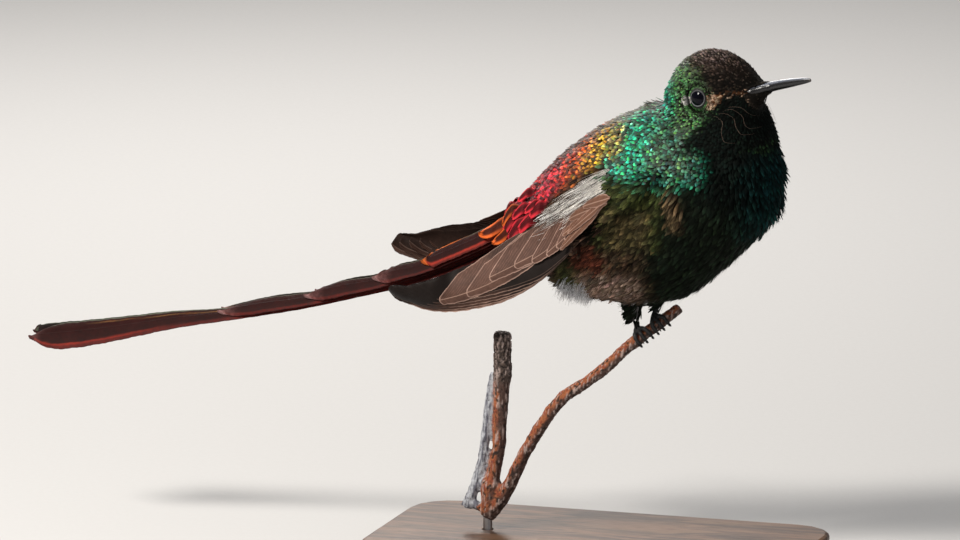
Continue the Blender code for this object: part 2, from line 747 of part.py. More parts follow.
def main():
    flesh_pieces = part_flesh(make_flesh())
    head = flesh_pieces["head"]
    breast = flesh_pieces["trunk_breast"]
    rump = flesh_pieces["trunk_rump"]
    make_eyes(head)
    make_bill(head)
    for side in ("right", "left"):
        make_wing(side, (breast, rump))
        make_leg(side, rump, breast)
        for number in range(len(TAIL_LENGTHS)):
            make_tail_feather(number, side)
    make_coverts()
    keep(head, "crown_green")
    keep(flesh_pieces["neck"], "throat_green")
    keep(breast, "throat_green")
    keep(rump, "rump_crimson")
    branch, stub, stem = make_perch()
    make_stand(branch)
    keep(branch, "bark")
    keep(stub, "bark")
    keep(stem, "grey_wood")


clear_scene()
model = make_collection("hummingbird")
cutters = make_collection("cutters")
materials = {name: make_material(name) for name in LOOKS}
main()
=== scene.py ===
import math

import bmesh
import bpy
import numpy as np
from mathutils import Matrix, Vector, noise
from mathutils.bvhtree import BVHTree


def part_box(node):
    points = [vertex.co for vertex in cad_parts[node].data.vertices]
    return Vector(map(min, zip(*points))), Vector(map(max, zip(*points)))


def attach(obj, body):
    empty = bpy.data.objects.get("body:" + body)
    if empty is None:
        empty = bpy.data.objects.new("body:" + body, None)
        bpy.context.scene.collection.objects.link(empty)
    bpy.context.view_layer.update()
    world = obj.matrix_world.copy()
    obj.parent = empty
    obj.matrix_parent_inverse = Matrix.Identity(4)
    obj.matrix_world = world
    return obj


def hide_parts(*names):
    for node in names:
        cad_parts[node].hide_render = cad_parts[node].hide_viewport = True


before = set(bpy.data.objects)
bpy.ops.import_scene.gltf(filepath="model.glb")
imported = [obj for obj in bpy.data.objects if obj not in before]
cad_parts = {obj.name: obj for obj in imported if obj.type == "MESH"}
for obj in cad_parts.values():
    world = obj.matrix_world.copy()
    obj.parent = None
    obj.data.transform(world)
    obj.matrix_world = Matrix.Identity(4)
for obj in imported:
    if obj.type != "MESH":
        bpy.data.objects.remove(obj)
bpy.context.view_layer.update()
mm = 0.001
draw = np.random.default_rng(20)


# Numbers and places

def smooth(value, low, high):
    # 0 below low, 1 above high, with a soft step between
    share = np.clip((value - low) / (high - low), 0.0, 1.0)
    return share * share * (3.0 - 2.0 * share)


def unit(vectors):
    size = np.linalg.norm(vectors, axis=-1, keepdims=True)
    return vectors / np.maximum(size, 1e-9)


def flatten(ways, normals):
    # the part of each direction that runs along the surface
    return unit(ways - np.sum(ways * normals, axis=1, keepdims=True) * normals)


def blend(first, second, share):
    first = np.asarray(first, dtype=float)
    return first + (np.asarray(second) - first) * share


def layOver(tint, colour, share):
    # puts a colour over others, wholly where share is 1 and not at all where it is 0
    return blend(tint, colour, np.clip(share, 0.0, 1.0)[..., None])


def softened(values, kernel, **padding):
    # a running average that is as long as what it is taken of
    padded = np.pad(values, len(kernel) // 2, **padding)
    return np.convolve(padded, kernel, mode="valid")


def sideSign(side):
    return -1.0 if side == "right" else 1.0


def middleOf(node):
    low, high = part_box(node)
    return np.array((Vector(low) + Vector(high)) / 2) / mm


def nodeShape(*names):
    # corners in millimetres and triangles of some nodes of the frame
    corners = []
    triangles = []
    count = 0
    for name in names:
        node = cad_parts[name]
        mesh = node.data
        mesh.calc_loop_triangles()
        points = np.empty(len(mesh.vertices) * 3)
        mesh.vertices.foreach_get("co", points)
        faces = np.empty(len(mesh.loop_triangles) * 3, dtype=np.int32)
        mesh.loop_triangles.foreach_get("vertices", faces)
        place = np.array(node.matrix_world)
        points = points.reshape(-1, 3) @ place[:3, :3].T + place[:3, 3]
        corners.append(points / mm)
        triangles.append(faces.reshape(-1, 3) + count)
        count += len(points)
    return np.concatenate(corners), np.concatenate(triangles)


# The head's own directions: ahead along the bill, to the bird's right, and up through the crown
headPose = {"turn": 20.7, "lift": 19.5, "eyeAhead": 1.2, "eyeUp": 0.3}
turn = math.radians(headPose["turn"])
lift = math.radians(headPose["lift"])
ahead = np.array((math.cos(lift) * math.cos(turn), -math.cos(lift) * math.sin(turn), math.sin(lift)))
toRight = np.array((-math.sin(turn), -math.cos(turn), 0.0))
headUp = np.cross(toRight, ahead)
eyeMiddle = {side: middleOf("eye_" + side) for side in ("right", "left")}
headMiddle = (eyeMiddle["right"] + eyeMiddle["left"]) / 2
headMiddle = headMiddle - ahead * headPose["eyeAhead"] - headUp * headPose["eyeUp"]

# The twig's middle between the feet; places on the body are given from here, in millimetres
perch = headMiddle - np.array((14.6, -1.0, 51.0))

# The trunk's axis from the tail's root to the head: x and z from the perch
trunkAxis = np.array((
    (-34.0, 20.0), (-27.6, 18.4), (-23.6, 16.9), (-17.0, 17.8), (-10.4, 20.4),
    (-3.9, 23.9), (2.8, 28.1), (9.4, 32.7), (14.5, 37.4), (16.0, 43.2), (15.2, 48.6),
))


def headPlace(points):
    # f ahead, r to the right and u up, from the head's middle
    offset = points - headMiddle
    return offset @ ahead, offset @ toRight, offset @ headUp


def trunkPlace(points):
    # how far along the trunk's axis a point is, and the angle round it: 0 on the back, 180 on the belly
    here = points[:, (0, 2)] - perch[[0, 2]]
    starts = trunkAxis[:-1]
    steps = trunkAxis[1:] - starts
    lengths = np.linalg.norm(steps, axis=1)
    before = np.concatenate(([0.0], np.cumsum(lengths)[:-1]))
    best = np.full(len(points), 1e9)
    along = np.zeros(len(points))
    height = np.zeros(len(points))
    for start, step, length, walked in zip(starts, steps, lengths, before):
        offset = here - start
        share = np.clip(offset @ step / length**2, 0.0, 1.0)
        away = offset - share[:, None] * step
        distance = np.linalg.norm(away, axis=1)
        nearer = distance < best
        best = np.where(nearer, distance, best)
        along = np.where(nearer, walked + share * length, along)
        over = (away[:, 1] * step[0] - away[:, 0] * step[1]) / length
        height = np.where(nearer, over, height)
    side = -(points[:, 1] - perch[1])
    return along, np.degrees(np.arctan2(side, height))


# Making meshes

def makeMesh(name, corners, faces, maps=None, colours=None):
    # corners in millimetres; every face has the same number of corners
    faces = np.asarray(faces, dtype=np.int32)
    mesh = bpy.data.meshes.new(name)
    sides = faces.shape[1]
    mesh.vertices.add(len(corners))
    mesh.vertices.foreach_set("co", (np.asarray(corners) * mm).astype(np.float32).ravel())
    mesh.loops.add(faces.size)
    mesh.loops.foreach_set("vertex_index", faces.ravel())
    mesh.polygons.add(len(faces))
    mesh.polygons.foreach_set("loop_start", np.arange(0, faces.size, sides, dtype=np.int32))
    mesh.polygons.foreach_set("loop_total", np.full(len(faces), sides, dtype=np.int32))
    mesh.update(calc_edges=True)
    mesh.polygons.foreach_set("use_smooth", np.full(len(faces), True))
    for mapName, places in (maps or {}).items():
        layer = mesh.uv_layers.new(name=mapName)
        layer.data.foreach_set("uv", places[faces.ravel()].astype(np.float32).ravel())
    for colourName, values in (colours or {}).items():
        layer = mesh.color_attributes.new(colourName, "FLOAT_COLOR", "POINT")
        full = np.concatenate((values, np.ones((len(values), 1))), axis=1)
        layer.data.foreach_set("color", full.astype(np.float32).ravel())
    mesh.validate()
    item = bpy.data.objects.new(name, mesh)
    bpy.context.scene.collection.objects.link(item)
    return item


def tidyMesh(item, openEdges=0, split=False):
    # closes the holes along the first few open edges and turns every face outward
    bm = bmesh.new()
    bm.from_mesh(item.data)
    if openEdges:
        rim = [edge for edge in bm.edges if edge.is_boundary][:openEdges]
        bmesh.ops.holes_fill(bm, edges=rim, sides=0)
    if split:
        bmesh.ops.triangulate(bm, faces=[face for face in bm.faces if len(face.verts) > 4])
    bmesh.ops.recalc_face_normals(bm, faces=bm.faces)
    bm.to_mesh(item.data)
    bm.free()


def finishPiece(item, material, slot, *nodes):
    item.data.materials.clear()
    item.data.materials.append(material)
    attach(item, "root")
    if nodes:
        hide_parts(*nodes)


# Camera, lights and floor

# turn and height in degrees, the rest in millimetres: field is the width of the view at the bird, and
# perchAside and perchBelow are how far right of its middle and below it the perch stands
cameraSettings = {"turn": 18.0, "height": 12.0, "lens": 800.0, "sensor": 36.0, "field": 200.0,
                  "perchAside": 35.417, "perchBelow": 12.5, "near": 100.0, "far": 30000.0}


def makeCamera():
    side = math.radians(cameraSettings["turn"])
    tilt = math.radians(cameraSettings["height"])
    right = np.array((math.cos(side), math.sin(side), 0.0))
    back = np.array((math.sin(side) * math.cos(tilt), -math.cos(side) * math.cos(tilt), math.sin(tilt)))
    up = np.cross(back, right)
    aim = perch - right * cameraSettings["perchAside"] + up * cameraSettings["perchBelow"]
    distance = cameraSettings["field"] * cameraSettings["lens"] / cameraSettings["sensor"]
    data = bpy.data.cameras.new("camera")
    data.lens = cameraSettings["lens"]
    data.sensor_width = cameraSettings["sensor"]
    data.clip_start = cameraSettings["near"] * mm
    data.clip_end = cameraSettings["far"] * mm
    item = bpy.data.objects.new("camera", data)
    item.location = (aim + back * distance) * mm
    item.rotation_euler = Vector(back).to_track_quat("Z", "Y").to_euler()
    bpy.context.scene.collection.objects.link(item)
    bpy.context.scene.camera = item


lightSettings = {
    "key": {"place": (-320.0, -420.0, 520.0), "size": 160.0, "power": 6.0, "colour": (1.0, 0.96, 0.9)},
    "fill": {"place": (500.0, -500.0, 260.0), "size": 420.0, "power": 0.6, "colour": (0.92, 0.95, 1.0)},
    "rim": {"place": (-260.0, 460.0, 420.0), "size": 260.0, "power": 2.4, "colour": (1.0, 0.97, 0.93)},
}
skySettings = {"strength": 0.22, "colour": (0.72, 0.74, 0.78, 1.0)}
lightTarget = (-20.0, 0.0, 30.0)


def makeLights():
    target = Vector((perch + lightTarget) * mm)
    for name, settings in lightSettings.items():
        data = bpy.data.lights.new(name, "AREA")
        data.energy = settings["power"]
        data.size = settings["size"] * mm
        data.color = settings["colour"]
        item = bpy.data.objects.new(name, data)
        item.location = Vector(settings["place"]) * mm
        item.rotation_euler = (item.location - target).to_track_quat("Z", "Y").to_euler()
        bpy.context.scene.collection.objects.link(item)
    world = bpy.data.worlds.new("studio")
    world.use_nodes = True
    shade = world.node_tree.nodes["Background"]
    shade.inputs["Color"].default_value = skySettings["colour"]
    shade.inputs["Strength"].default_value = skySettings["strength"]
    bpy.context.scene.world = world
    bpy.context.scene.view_settings.view_transform = "Standard"


# between farFrom and farTo, in millimetres, the floor turns to its far colour and so meets the sky softly;
# the paler far colour is painted light, standing in for the lamps' light that falls off there
floorSettings = {"reach": 6000.0, "pale": (0.60, 0.59, 0.58, 1.0), "paler": (0.64, 0.63, 0.62, 1.0),
                 "far": (0.97, 0.97, 0.97, 1.0), "farFrom": 700.0, "farTo": 1800.0}


def makeFloor():
    reach = floorSettings["reach"]
    corners = [(x * reach, y * reach, 0.0) for x, y in ((-1, -1), (1, -1), (1, 1), (-1, 1))]
    item = makeMesh("floor", corners, [(0, 1, 2, 3)])
    material, tree, shader = newMaterial("paleFloor")
    grain = speckle(tree, 0.8)
    colour = mixColour(tree, grain, floorSettings["pale"], floorSettings["paler"])
    away = addNode(tree, "VectorMath", {0: objectPlace(tree)}, operation="LENGTH").outputs["Value"]
    far = softStep(tree, away, floorSettings["farFrom"] * mm, floorSettings["farTo"] * mm)
    # painted light: the floor grows paler far out, where the lamps no longer reach
    colour = mixColour(tree, far, colour, floorSettings["far"])
    wire(tree, shader, colour, calc(tree, "MULTIPLY_ADD", grain, 0.1, 0.85))
    addBump(tree, shader, grain, 0.02)
    item.data.materials.append(material)


# Materials

def newMaterial(name):
    material = bpy.data.materials.new(name)
    material.use_nodes = True
    tree = material.node_tree
    return material, tree, tree.nodes["Principled BSDF"]


def addNode(tree, kind, values=None, **settings):
    item = tree.nodes.new("ShaderNode" + kind)
    for key, value in settings.items():
        setattr(item, key, value)
    for socket, value in (values or {}).items():
        if isinstance(value, bpy.types.NodeSocket):
            tree.links.new(value, item.inputs[socket])
        else:
            item.inputs[socket].default_value = value
    return item


def calc(tree, operation, *values, clamp=False):
    item = addNode(tree, "Math", dict(enumerate(values)), operation=operation, use_clamp=clamp)
    return item.outputs[0]


def mixColour(tree, share, first, second, blendType="MIX"):
    item = addNode(tree, "Mix", {0: share, 6: first, 7: second}, data_type="RGBA", blend_type=blendType)
    return item.outputs[2]


def softStep(tree, value, low, high):
    item = addNode(tree, "MapRange", {"Value": value, "From Min": low, "From Max": high},
                   interpolation_type="SMOOTHSTEP")
    return item.outputs["Result"]


def objectPlace(tree):
    return addNode(tree, "TexCoord").outputs["Object"]


def stored(tree, name):
    # a colour that is kept at the mesh's own corners
    return addNode(tree, "Attribute", attribute_name=name).outputs["Color"]


def mapParts(tree, name):
    return addNode(tree, "SeparateXYZ", {0: addNode(tree, "UVMap", uv_map=name).outputs[0]}).outputs


def speckle(tree, scale, detail=3.0):
    # noise in object space; scale is in grains to a millimetre
    item = addNode(tree, "TexNoise", {"Vector": objectPlace(tree), "Scale": scale / mm, "Detail": detail,
                                      "Roughness": 0.6})
    return item.outputs["Fac"]


def shadeBy(tree, colour, shade):
    grey = addNode(tree, "CombineColor", {0: shade, 1: shade, 2: shade}).outputs[0]
    return mixColour(tree, 1.0, colour, grey, "MULTIPLY")


def barbStripes(tree, settings):
    # fine stripes that slant away from the shaft, and the distance from it
    aside, forward, _ = mapParts(tree, "barb")
    outward = calc(tree, "ABSOLUTE", aside)
    lean = calc(tree, "MULTIPLY_ADD", outward, -settings["barbLean"], forward)
    if "waver" in settings:
        lean = calc(tree, "MULTIPLY_ADD", speckle(tree, 0.5, 2.0), settings["waver"], lean)
    wave = calc(tree, "SINE", calc(tree, "MULTIPLY", lean, 2 * math.pi / settings["barbGap"]))
    return calc(tree, "MULTIPLY_ADD", wave, 0.5, 0.5), outward


def addBump(tree, shader, height, distance):
    item = addNode(tree, "Bump", {"Height": height, "Distance": distance * mm, "Strength": 1.0})
    tree.links.new(item.outputs["Normal"], shader.inputs["Normal"])


def wire(tree, shader, colour, rough, shine=None):
    # joins colour and roughness to the shader
    tree.links.new(colour, shader.inputs["Base Color"])
    tree.links.new(rough, shader.inputs["Roughness"])
    if shine is not None:
        shader.inputs["Specular IOR Level"].default_value = shine


makeCamera()
makeLights()
makeFloor()
print("camera, lights and floor are in place")


# Plumage: each vane's own colours are stored on it as tint at the base and glow at the tip

def plumageMaterial(name, settings):
    material, tree, shader = newMaterial(name)
    across, along, _ = mapParts(tree, "vane")
    across = calc(tree, "ABSOLUTE", calc(tree, "MULTIPLY_ADD", across, 2.0, -1.0))
    stripe, _ = barbStripes(tree, settings)
    grain = speckle(tree, settings["grain"])
    lit = softStep(tree, along, settings["glowFrom"], settings["glowTo"])
    edge = softStep(tree, across, settings["edgeFrom"], 1.0)
    share = calc(tree, "MAXIMUM", lit, calc(tree, "MULTIPLY", edge, settings["edgeShare"]))
    share = calc(tree, "MULTIPLY", share, calc(tree, "MULTIPLY_ADD", stripe, settings["stripe"],
                                               1.0 - settings["stripe"]))
    share = calc(tree, "MULTIPLY", share, calc(tree, "MULTIPLY_ADD", grain, 1.4, 0.3), clamp=True)
    colour = mixColour(tree, share, stored(tree, "tint"), stored(tree, "glow"))
    colour = shadeBy(tree, colour, calc(tree, "MULTIPLY_ADD", grain, 0.8, 0.6))
    rough = calc(tree, "MULTIPLY_ADD", grain, 0.25, settings["rough"] - 0.12)
    wire(tree, shader, colour, rough, settings["shine"])
    tree.links.new(calc(tree, "MULTIPLY", lit, settings["metal"]), shader.inputs["Metallic"])
    addBump(tree, shader, stripe, settings["bump"])
    return material


plumageLooks = {
    "scaleFeathers": {"barbGap": 0.16, "barbLean": 0.9, "grain": 1.6, "glowFrom": 0.38, "glowTo": 0.8,
                      "edgeFrom": 0.72, "edgeShare": 0.35, "stripe": 0.45, "rough": 0.42, "metal": 0.45,
                      "bump": 0.02, "shine": 0.35},
    "downFeathers": {"barbGap": 0.3, "barbLean": 0.5, "grain": 1.1, "glowFrom": 0.25, "glowTo": 1.0,
                     "edgeFrom": 0.8, "edgeShare": 0.1, "stripe": 0.3, "rough": 0.7, "metal": 0.0,
                     "bump": 0.01, "shine": 0.06},
}
scaleMaterial, downMaterial = (plumageMaterial(name, looks) for name, looks in plumageLooks.items())


# Markings: what grows where on the body. Colours are linear red, green and blue.

def paint(marks, mask, colour=None, **values):
    # moves the marks towards some values, and towards a named pair of colours, by a share of 0 to 1
    if colour:
        values = dict(zip(("tint", "glow"), plumageColours[colour])) | values
    for key, value in values.items():
        value = np.asarray(value, dtype=float)
        share = mask[:, None] if marks[key].ndim == 2 else mask
        marks[key] = marks[key] * (1.0 - share) + value * share


# each is the vane's own colour and the colour that it shows at the tip; the belly's, the throat's and the
# face's dark pairs hold painted shade
plumageColours = {
    # the belly's pair: dark green-black, darkened further as painted shade of the underside
    "belly": ((0.005, 0.007, 0.004), (0.013, 0.024, 0.012)),
    # the throat's pair: near black, painted shade over the throat and chin
    "throatShade": ((0.003, 0.004, 0.003), (0.005, 0.011, 0.008)),
    "teal": ((0.005, 0.013, 0.008), (0.035, 0.68, 0.38)),
    "leaf": ((0.009, 0.013, 0.006), (0.12, 0.36, 0.10)),
    "olive": ((0.014, 0.016, 0.006), (0.10, 0.12, 0.035)),
    "crown": ((0.016, 0.010, 0.007), (0.15, 0.105, 0.085)),
    # the face's pair: near black, painted shade over the front of the head
    "faceShade": ((0.005, 0.004, 0.003), (0.030, 0.022, 0.016)),
    "cinnamon": ((0.14, 0.055, 0.022), (0.82, 0.60, 0.42)),
    "white": ((0.50, 0.47, 0.44), (0.95, 0.91, 0.87)),
    "gold": ((0.03, 0.012, 0.005), (0.85, 0.50, 0.04)),
    "orange": ((0.045, 0.009, 0.005), (0.90, 0.16, 0.03)),
    "crimson": ((0.07, 0.006, 0.008), (0.85, 0.04, 0.06)),
    "backBrown": ((0.018, 0.009, 0.006), (0.13, 0.065, 0.04)),
    "flank": ((0.010, 0.007, 0.004), (0.15, 0.095, 0.055)),
    "buff": ((0.022, 0.013, 0.008), (0.75, 0.52, 0.40)),
    "seaBlue": ((0.003, 0.010, 0.010), (0.006, 0.055, 0.052)),
    "rust": ((0.03, 0.010, 0.006), (0.36, 0.09, 0.05)),
    "lightBrown": ((0.018, 0.011, 0.006), (0.30, 0.19, 0.10)),
}


def within(value, low, high, soft):
    return smooth(value, low - soft, low + soft) * (1.0 - smooth(value, high - soft, high + soft))


def markingsAt(points):
    count = len(points)
    f, r, u = headPlace(points)
    out = np.abs(r)
    x, y, z = (points - perch).T
    side = np.abs(y)
    angle = np.abs(trunkPlace(points)[1])
    marks = {"tint": np.zeros((count, 3)), "glow": np.zeros((count, 3))}
    for key in ("length", "width", "gap", "lift", "down", "shine"):
        marks[key] = np.zeros(count)
    # every spot starts with the belly's colours, and so with their painted shade
    paint(marks, np.ones(count), "belly", length=3.0, width=0.85, gap=0.66, lift=11.0, down=0.35,
          shine=0.0)

    # flanks and the underside: long fine barbs, buff where they catch the light
    flank = within(x, -18.0, 4.5, 2.0) * (1.0 - smooth(z, 20.0, 25.0)) * smooth(side, 4.0, 8.0)
    paint(marks, flank, "flank", length=3.6, width=0.7, gap=0.60, down=1.0, lift=13.0)
    buff = within(x, -12.0, 3.0, 2.0) * within(z, 4.0, 15.0, 2.0) * smooth(side, 5.0, 9.0)
    paint(marks, buff * 0.75, "buff")
    greenish = within(x, -16.0, -10.5, 1.2) * within(z, 9.0, 17.0, 1.5) * smooth(side, 4.0, 8.0)
    paint(marks, greenish * 0.8, "olive")
    rust = within(x, -11.5, -4.5, 1.0) * within(z, 15.5, 21.0, 1.2) * smooth(side, 10.0, 12.5)
    paint(marks, rust * 0.85, "rust")

    # breast: a dark sea-blue gloss down the front
    front = smooth(x, 20.0, 28.0) * smooth(z, 16.0, 26.0)
    paint(marks, front * 0.9, "seaBlue", width=0.9, down=0.1, gap=0.66, length=2.4)

    # olive down over the wing's bend
    olive = within(x, -7.0, 8.0, 1.5) * within(z, 22.0, 36.0, 2.0) * smooth(side, 9.0, 12.0)
    paint(marks, olive, "olive", length=3.2, width=0.85, down=1.0, gap=0.60, lift=15.0)
    wisps = within(x, -4.0, 6.0, 1.5) * within(z, 22.0, 30.0, 2.0) * smooth(side, 9.0, 12.0)
    paint(marks, wisps * 0.5, "lightBrown")
    tuftAt = 10.6 - 0.22 * (z - 31.0)
    tuft = within(x, tuftAt - 1.2, tuftAt + 1.2, 1.0) * within(z, 26.5, 37.0, 2.0) * smooth(side, 11.0, 13.5)
    paint(marks, tuft * 0.85, "lightBrown", length=4.0, width=0.5, gap=0.5, down=1.0, lift=26.0)

    # back and rump: gold by the shoulders, through orange to crimson
    behind = 1.0 - smooth(x, -6.0, -4.2)
    scales = behind * (1.0 - smooth(angle, 41.0, 46.0)) * smooth(z, 12.0, 16.0)
    paint(marks, scales, "orange", length=1.8, width=0.88, gap=0.55, lift=17.0, down=0.0,
          shine=1.0)
    gold = scales * smooth(x, -13.0, -7.0)
    paint(marks, gold, "gold")
    crimson = scales * (1.0 - smooth(x, -18.0, -12.0))
    paint(marks, crimson, "crimson", width=1.15)
    ridge = behind * (1.0 - smooth(angle, 8.0, 22.0)) * smooth(x, -27.0, -18.0)
    paint(marks, ridge * 0.9, "backBrown")
    brown = behind * within(angle, 43.0, 62.0, 2.5) * smooth(x, -24.0, -18.0)
    paint(marks, brown, "backBrown", length=3.6, width=0.85, gap=0.62, down=1.0, lift=9.0,
          shine=0.0)

    # neck and shoulders: glittering green, teal towards the back of the neck
    collar = smooth(x, -6.2, -4.6) * smooth(z, 33.8, 36.2)
    paint(marks, collar, "teal", length=1.65, width=0.78, gap=0.52, lift=19.0, down=0.0,
          shine=1.0)
    yellow = collar * (1.0 - smooth(x, -3.5, -0.5)) * within(z, 38.5, 45.5, 1.2)
    paint(marks, yellow * 0.75, "gold")
    yellowTips = collar * (1.0 - smooth(x, -4.6, -2.5)) * within(z, 32.0, 37.0, 1.0)
    paint(marks, yellowTips * 0.7, glow=(0.32, 0.48, 0.05))
    nape = (1.0 - smooth(x, 2.0, 6.0)) * (1.0 - smooth(side, 2.0, 5.5)) * smooth(z, 38.0, 42.0)
    paint(marks, nape * collar * 0.9, "backBrown")
    sparse = collar * within(x, 4.5, 15.0, 2.5) * within(z, 36.0, 48.0, 2.5)
    paint(marks, sparse * 0.45, "lightBrown")

    # the gorget's lower border is puffed out in front
    puffed = smooth(x, 17.0, 24.0) * within(z, 25.0, 42.0, 4.0)
    paint(marks, puffed, length=3.5, lift=27.0, width=0.9)

    # throat: painted black in the middle as shade, green specks to the sides
    throat = smooth(x, 13.0, 18.0) * smooth(z, 28.0, 34.0)
    paint(marks, throat, "throatShade", shine=0.0)
    edge = smooth(x, 21.0, 28.0) * smooth(z, 28.0, 34.0)
    paint(marks, edge * 0.75, "seaBlue")

    # head: green behind the eye, painted black in front of it as shade, pale specks on the crown
    distance = np.sqrt(f * f + out * out + u * u)
    head = 1.0 - smooth(distance - 4.0 * smooth(f, 5.0, 9.0), 10.5, 13.0)
    paint(marks, head, "leaf", length=1.35, width=0.52, gap=0.42, lift=17.0, down=0.0, shine=0.8)
    backHead = head * (1.0 - smooth(f, -7.0, -3.0))
    paint(marks, backHead, "teal")
    top = head * smooth(u + 0.2 * f, 4.5, 8.5)
    paint(marks, top * 0.7, glow=(0.065, 0.15, 0.05))
    # the front of the head darkens forward, a painted shade
    faceShade = smooth(f + 0.25 * u, -0.2, 6.2)
    paint(marks, head * faceShade, "faceShade", shine=0.2)
    crown = head * smooth(u + 0.45 * f, 5.5, 8.5)
    paint(marks, crown * 0.75, "crown", length=1.1, width=0.42, gap=0.40, shine=0.2)
    brow = head * smooth(u + 0.45 * f, 8.2, 10.0) * smooth(f, -3.0, 1.0) * (1.0 - smooth(f, 6.0, 8.0))
    paint(marks, brow * 0.8, glow=(0.40, 0.29, 0.26))
    hackles = (1.0 - smooth(f, -6.0, -3.5)) * within(u, -8.0, 5.0, 2.0) * (1.0 - smooth(out, 4.5, 7.0))
    hackles = hackles * (1.0 - smooth(distance, 12.5, 15.5))
    paint(marks, hackles, length=3.1, width=0.8, lift=24.0)
    # the chin is painted black-green too, as shade
    chin = smooth(0.75 * f - u, 4.5, 7.5) * (1.0 - smooth(u, -2.2, -0.5))
    chin = chin * (1.0 - smooth(distance, 13.0, 17.0))
    paint(marks, chin, "throatShade", length=1.3, shine=0.0)
    muzzle = head * smooth(f, 7.5, 11.0)
    paint(marks, muzzle, length=0.9, width=0.42, gap=0.36, lift=10.0)
    eyeRing = np.sqrt((f - 1.2) ** 2 + (u - 0.3) ** 2 + 0.3 * (out - 6.5) ** 2)
    paint(marks, 1.0 - smooth(eyeRing, 3.0, 5.0), length=0.85, width=0.42, gap=0.36, lift=10.0)
    # a cinnamon wedge from the eye that runs out in pale specks towards the gape
    under = -2.4 + 0.17 * (f - 2.5) + np.maximum(f - 5.8, 0.0)
    lore = within(f, 3.2, 7.6, 0.3) * within(u, under, 0.1, 0.25) * smooth(out, 2.6, 3.6)
    paint(marks, lore, "cinnamon", down=0.3, shine=0.0)
    specks = within(f, 7.4, 10.8, 0.4) * within(u + 0.2 + 0.36 * (f - 7.5), -0.3, 0.3, 0.15)
    paint(marks, specks * smooth(out, 2.2, 3.0) * 0.5, "cinnamon", shine=0.0)
    # a white wedge behind the eye, widest next to it
    spotHalf = 0.1 + 0.4 * (f + 3.0)
    whiteSpot = within(f, -3.0, -0.5, 0.2) * within(u - 0.5, -spotHalf, spotHalf, 0.2)
    paint(marks, whiteSpot * smooth(out, 5.0, 6.0), "white", shine=0.0)
    return marks


# Skin: one closed surface under all the feathers

# depths: how far the skin lies under the frame's solids; dim and brightest keep it darker than the feathers,
# as painted shade where it shows between them, and brightest also caps its pale marks
skinSettings = {"voxel": 0.45, "smoothing": 12, "bridge": 0.6, "headDepth": 0.55, "bodyDepth": 1.35,
                "legDepth": 0.35, "dim": 0.6, "brightest": 0.12}
fleshNodes = ("head", "neck", "trunk_breast", "trunk_rump", "thigh_left", "thigh_right")
wingArmNodes = ("wing_right_coverts", "wing_left_coverts")


# the head's part of the map goes from headFrom up, over so much of its length; the trunk's lies below it
mapLayout = {"side": 0.02, "round": 0.96, "headFrom": 0.60, "headTall": 0.36, "headBack": -12.0,
             "headLength": 27.0, "headSize": 14.5, "headFloor": -9.0, "trunkFrom": 0.03, "trunkTall": 0.50,
             "trunkLength": 62.0}


def skinUnwrap(points):
    # the head round its own length in the upper half of the map, the trunk round its axis in the lower
    f, r, u = headPlace(points)
    along, angle = trunkPlace(points)
    onHead = u + 0.35 * f > mapLayout["headFloor"]
    onHead &= np.sqrt(f * f + r * r + u * u) < mapLayout["headSize"]
    headShare = np.clip((f - mapLayout["headBack"]) / mapLayout["headLength"], 0.0, 1.0)
    trunkShare = np.clip(along / mapLayout["trunkLength"], 0.0, 1.0)
    across = np.where(onHead, np.arctan2(r, u) / (2 * math.pi), angle / 360.0) + 0.5
    level = np.where(onHead, mapLayout["headFrom"] + mapLayout["headTall"] * headShare,
                     mapLayout["trunkFrom"] + mapLayout["trunkTall"] * trunkShare)
    return np.stack((mapLayout["side"] + mapLayout["round"] * across, level), axis=1), onHead


def skinMaterial():
    material, tree, shader = newMaterial("skin")
    grain = speckle(tree, 1.3)
    share = calc(tree, "MULTIPLY", softStep(tree, grain, 0.55, 0.8), 0.10)
    colour = mixColour(tree, share, stored(tree, "tint"), stored(tree, "glow"))
    wire(tree, shader, colour, calc(tree, "MULTIPLY_ADD", grain, 0.2, 0.7), 0.05)
    addBump(tree, shader, grain, 0.2)
    return material


def softCopy(nodes, voxel, smoothing, swell=0.0, joints=()):
    # the frame's solids, with balls along each joint, as one finer and softer surface:
    # points, outward directions and faces
    corners, triangles = nodeShape(*nodes)
    for start, end, radius in joints:
        for share in np.linspace(0.0, 1.0, 6):
            bm = bmesh.new()
            bmesh.ops.create_icosphere(bm, subdivisions=2, radius=radius)
            ball = np.array([vertex.co for vertex in bm.verts]) + start + (end - start) * share
            around = np.array([[vertex.index for vertex in face.verts] for face in bm.faces])
            bm.free()
            triangles = np.concatenate((triangles, around + len(corners)))
            corners = np.concatenate((corners, ball))
    rough = makeMesh("rough", corners, triangles)
    if swell:
        # grown a little first, so that the clearances between the solids close up
        joined = rough.modifiers.new("joined", "REMESH")
        joined.mode = "VOXEL"
        joined.voxel_size = voxel * mm
        grow = rough.modifiers.new("grow", "DISPLACE")
        grow.strength = swell * mm
        grow.mid_level = 0.0
    remesh = rough.modifiers.new("remesh", "REMESH")
    remesh.mode = "VOXEL"
    remesh.voxel_size = voxel * mm
    soften = rough.modifiers.new("soften", "SMOOTH")
    soften.iterations = smoothing
    evaluated = rough.evaluated_get(bpy.context.evaluated_depsgraph_get())
    mesh = evaluated.to_mesh()
    points = np.empty(len(mesh.vertices) * 3)
    mesh.vertices.foreach_get("co", points)
    normals = np.empty(len(mesh.vertices) * 3)
    mesh.vertices.foreach_get("normal", normals)
    faces = np.empty(len(mesh.loops), dtype=np.int32)
    mesh.loops.foreach_get("vertex_index", faces)
    evaluated.to_mesh_clear()
    bpy.data.objects.remove(rough, do_unlink=True)
    return points.reshape(-1, 3) / mm, normals.reshape(-1, 3), faces.reshape(-1, 4)


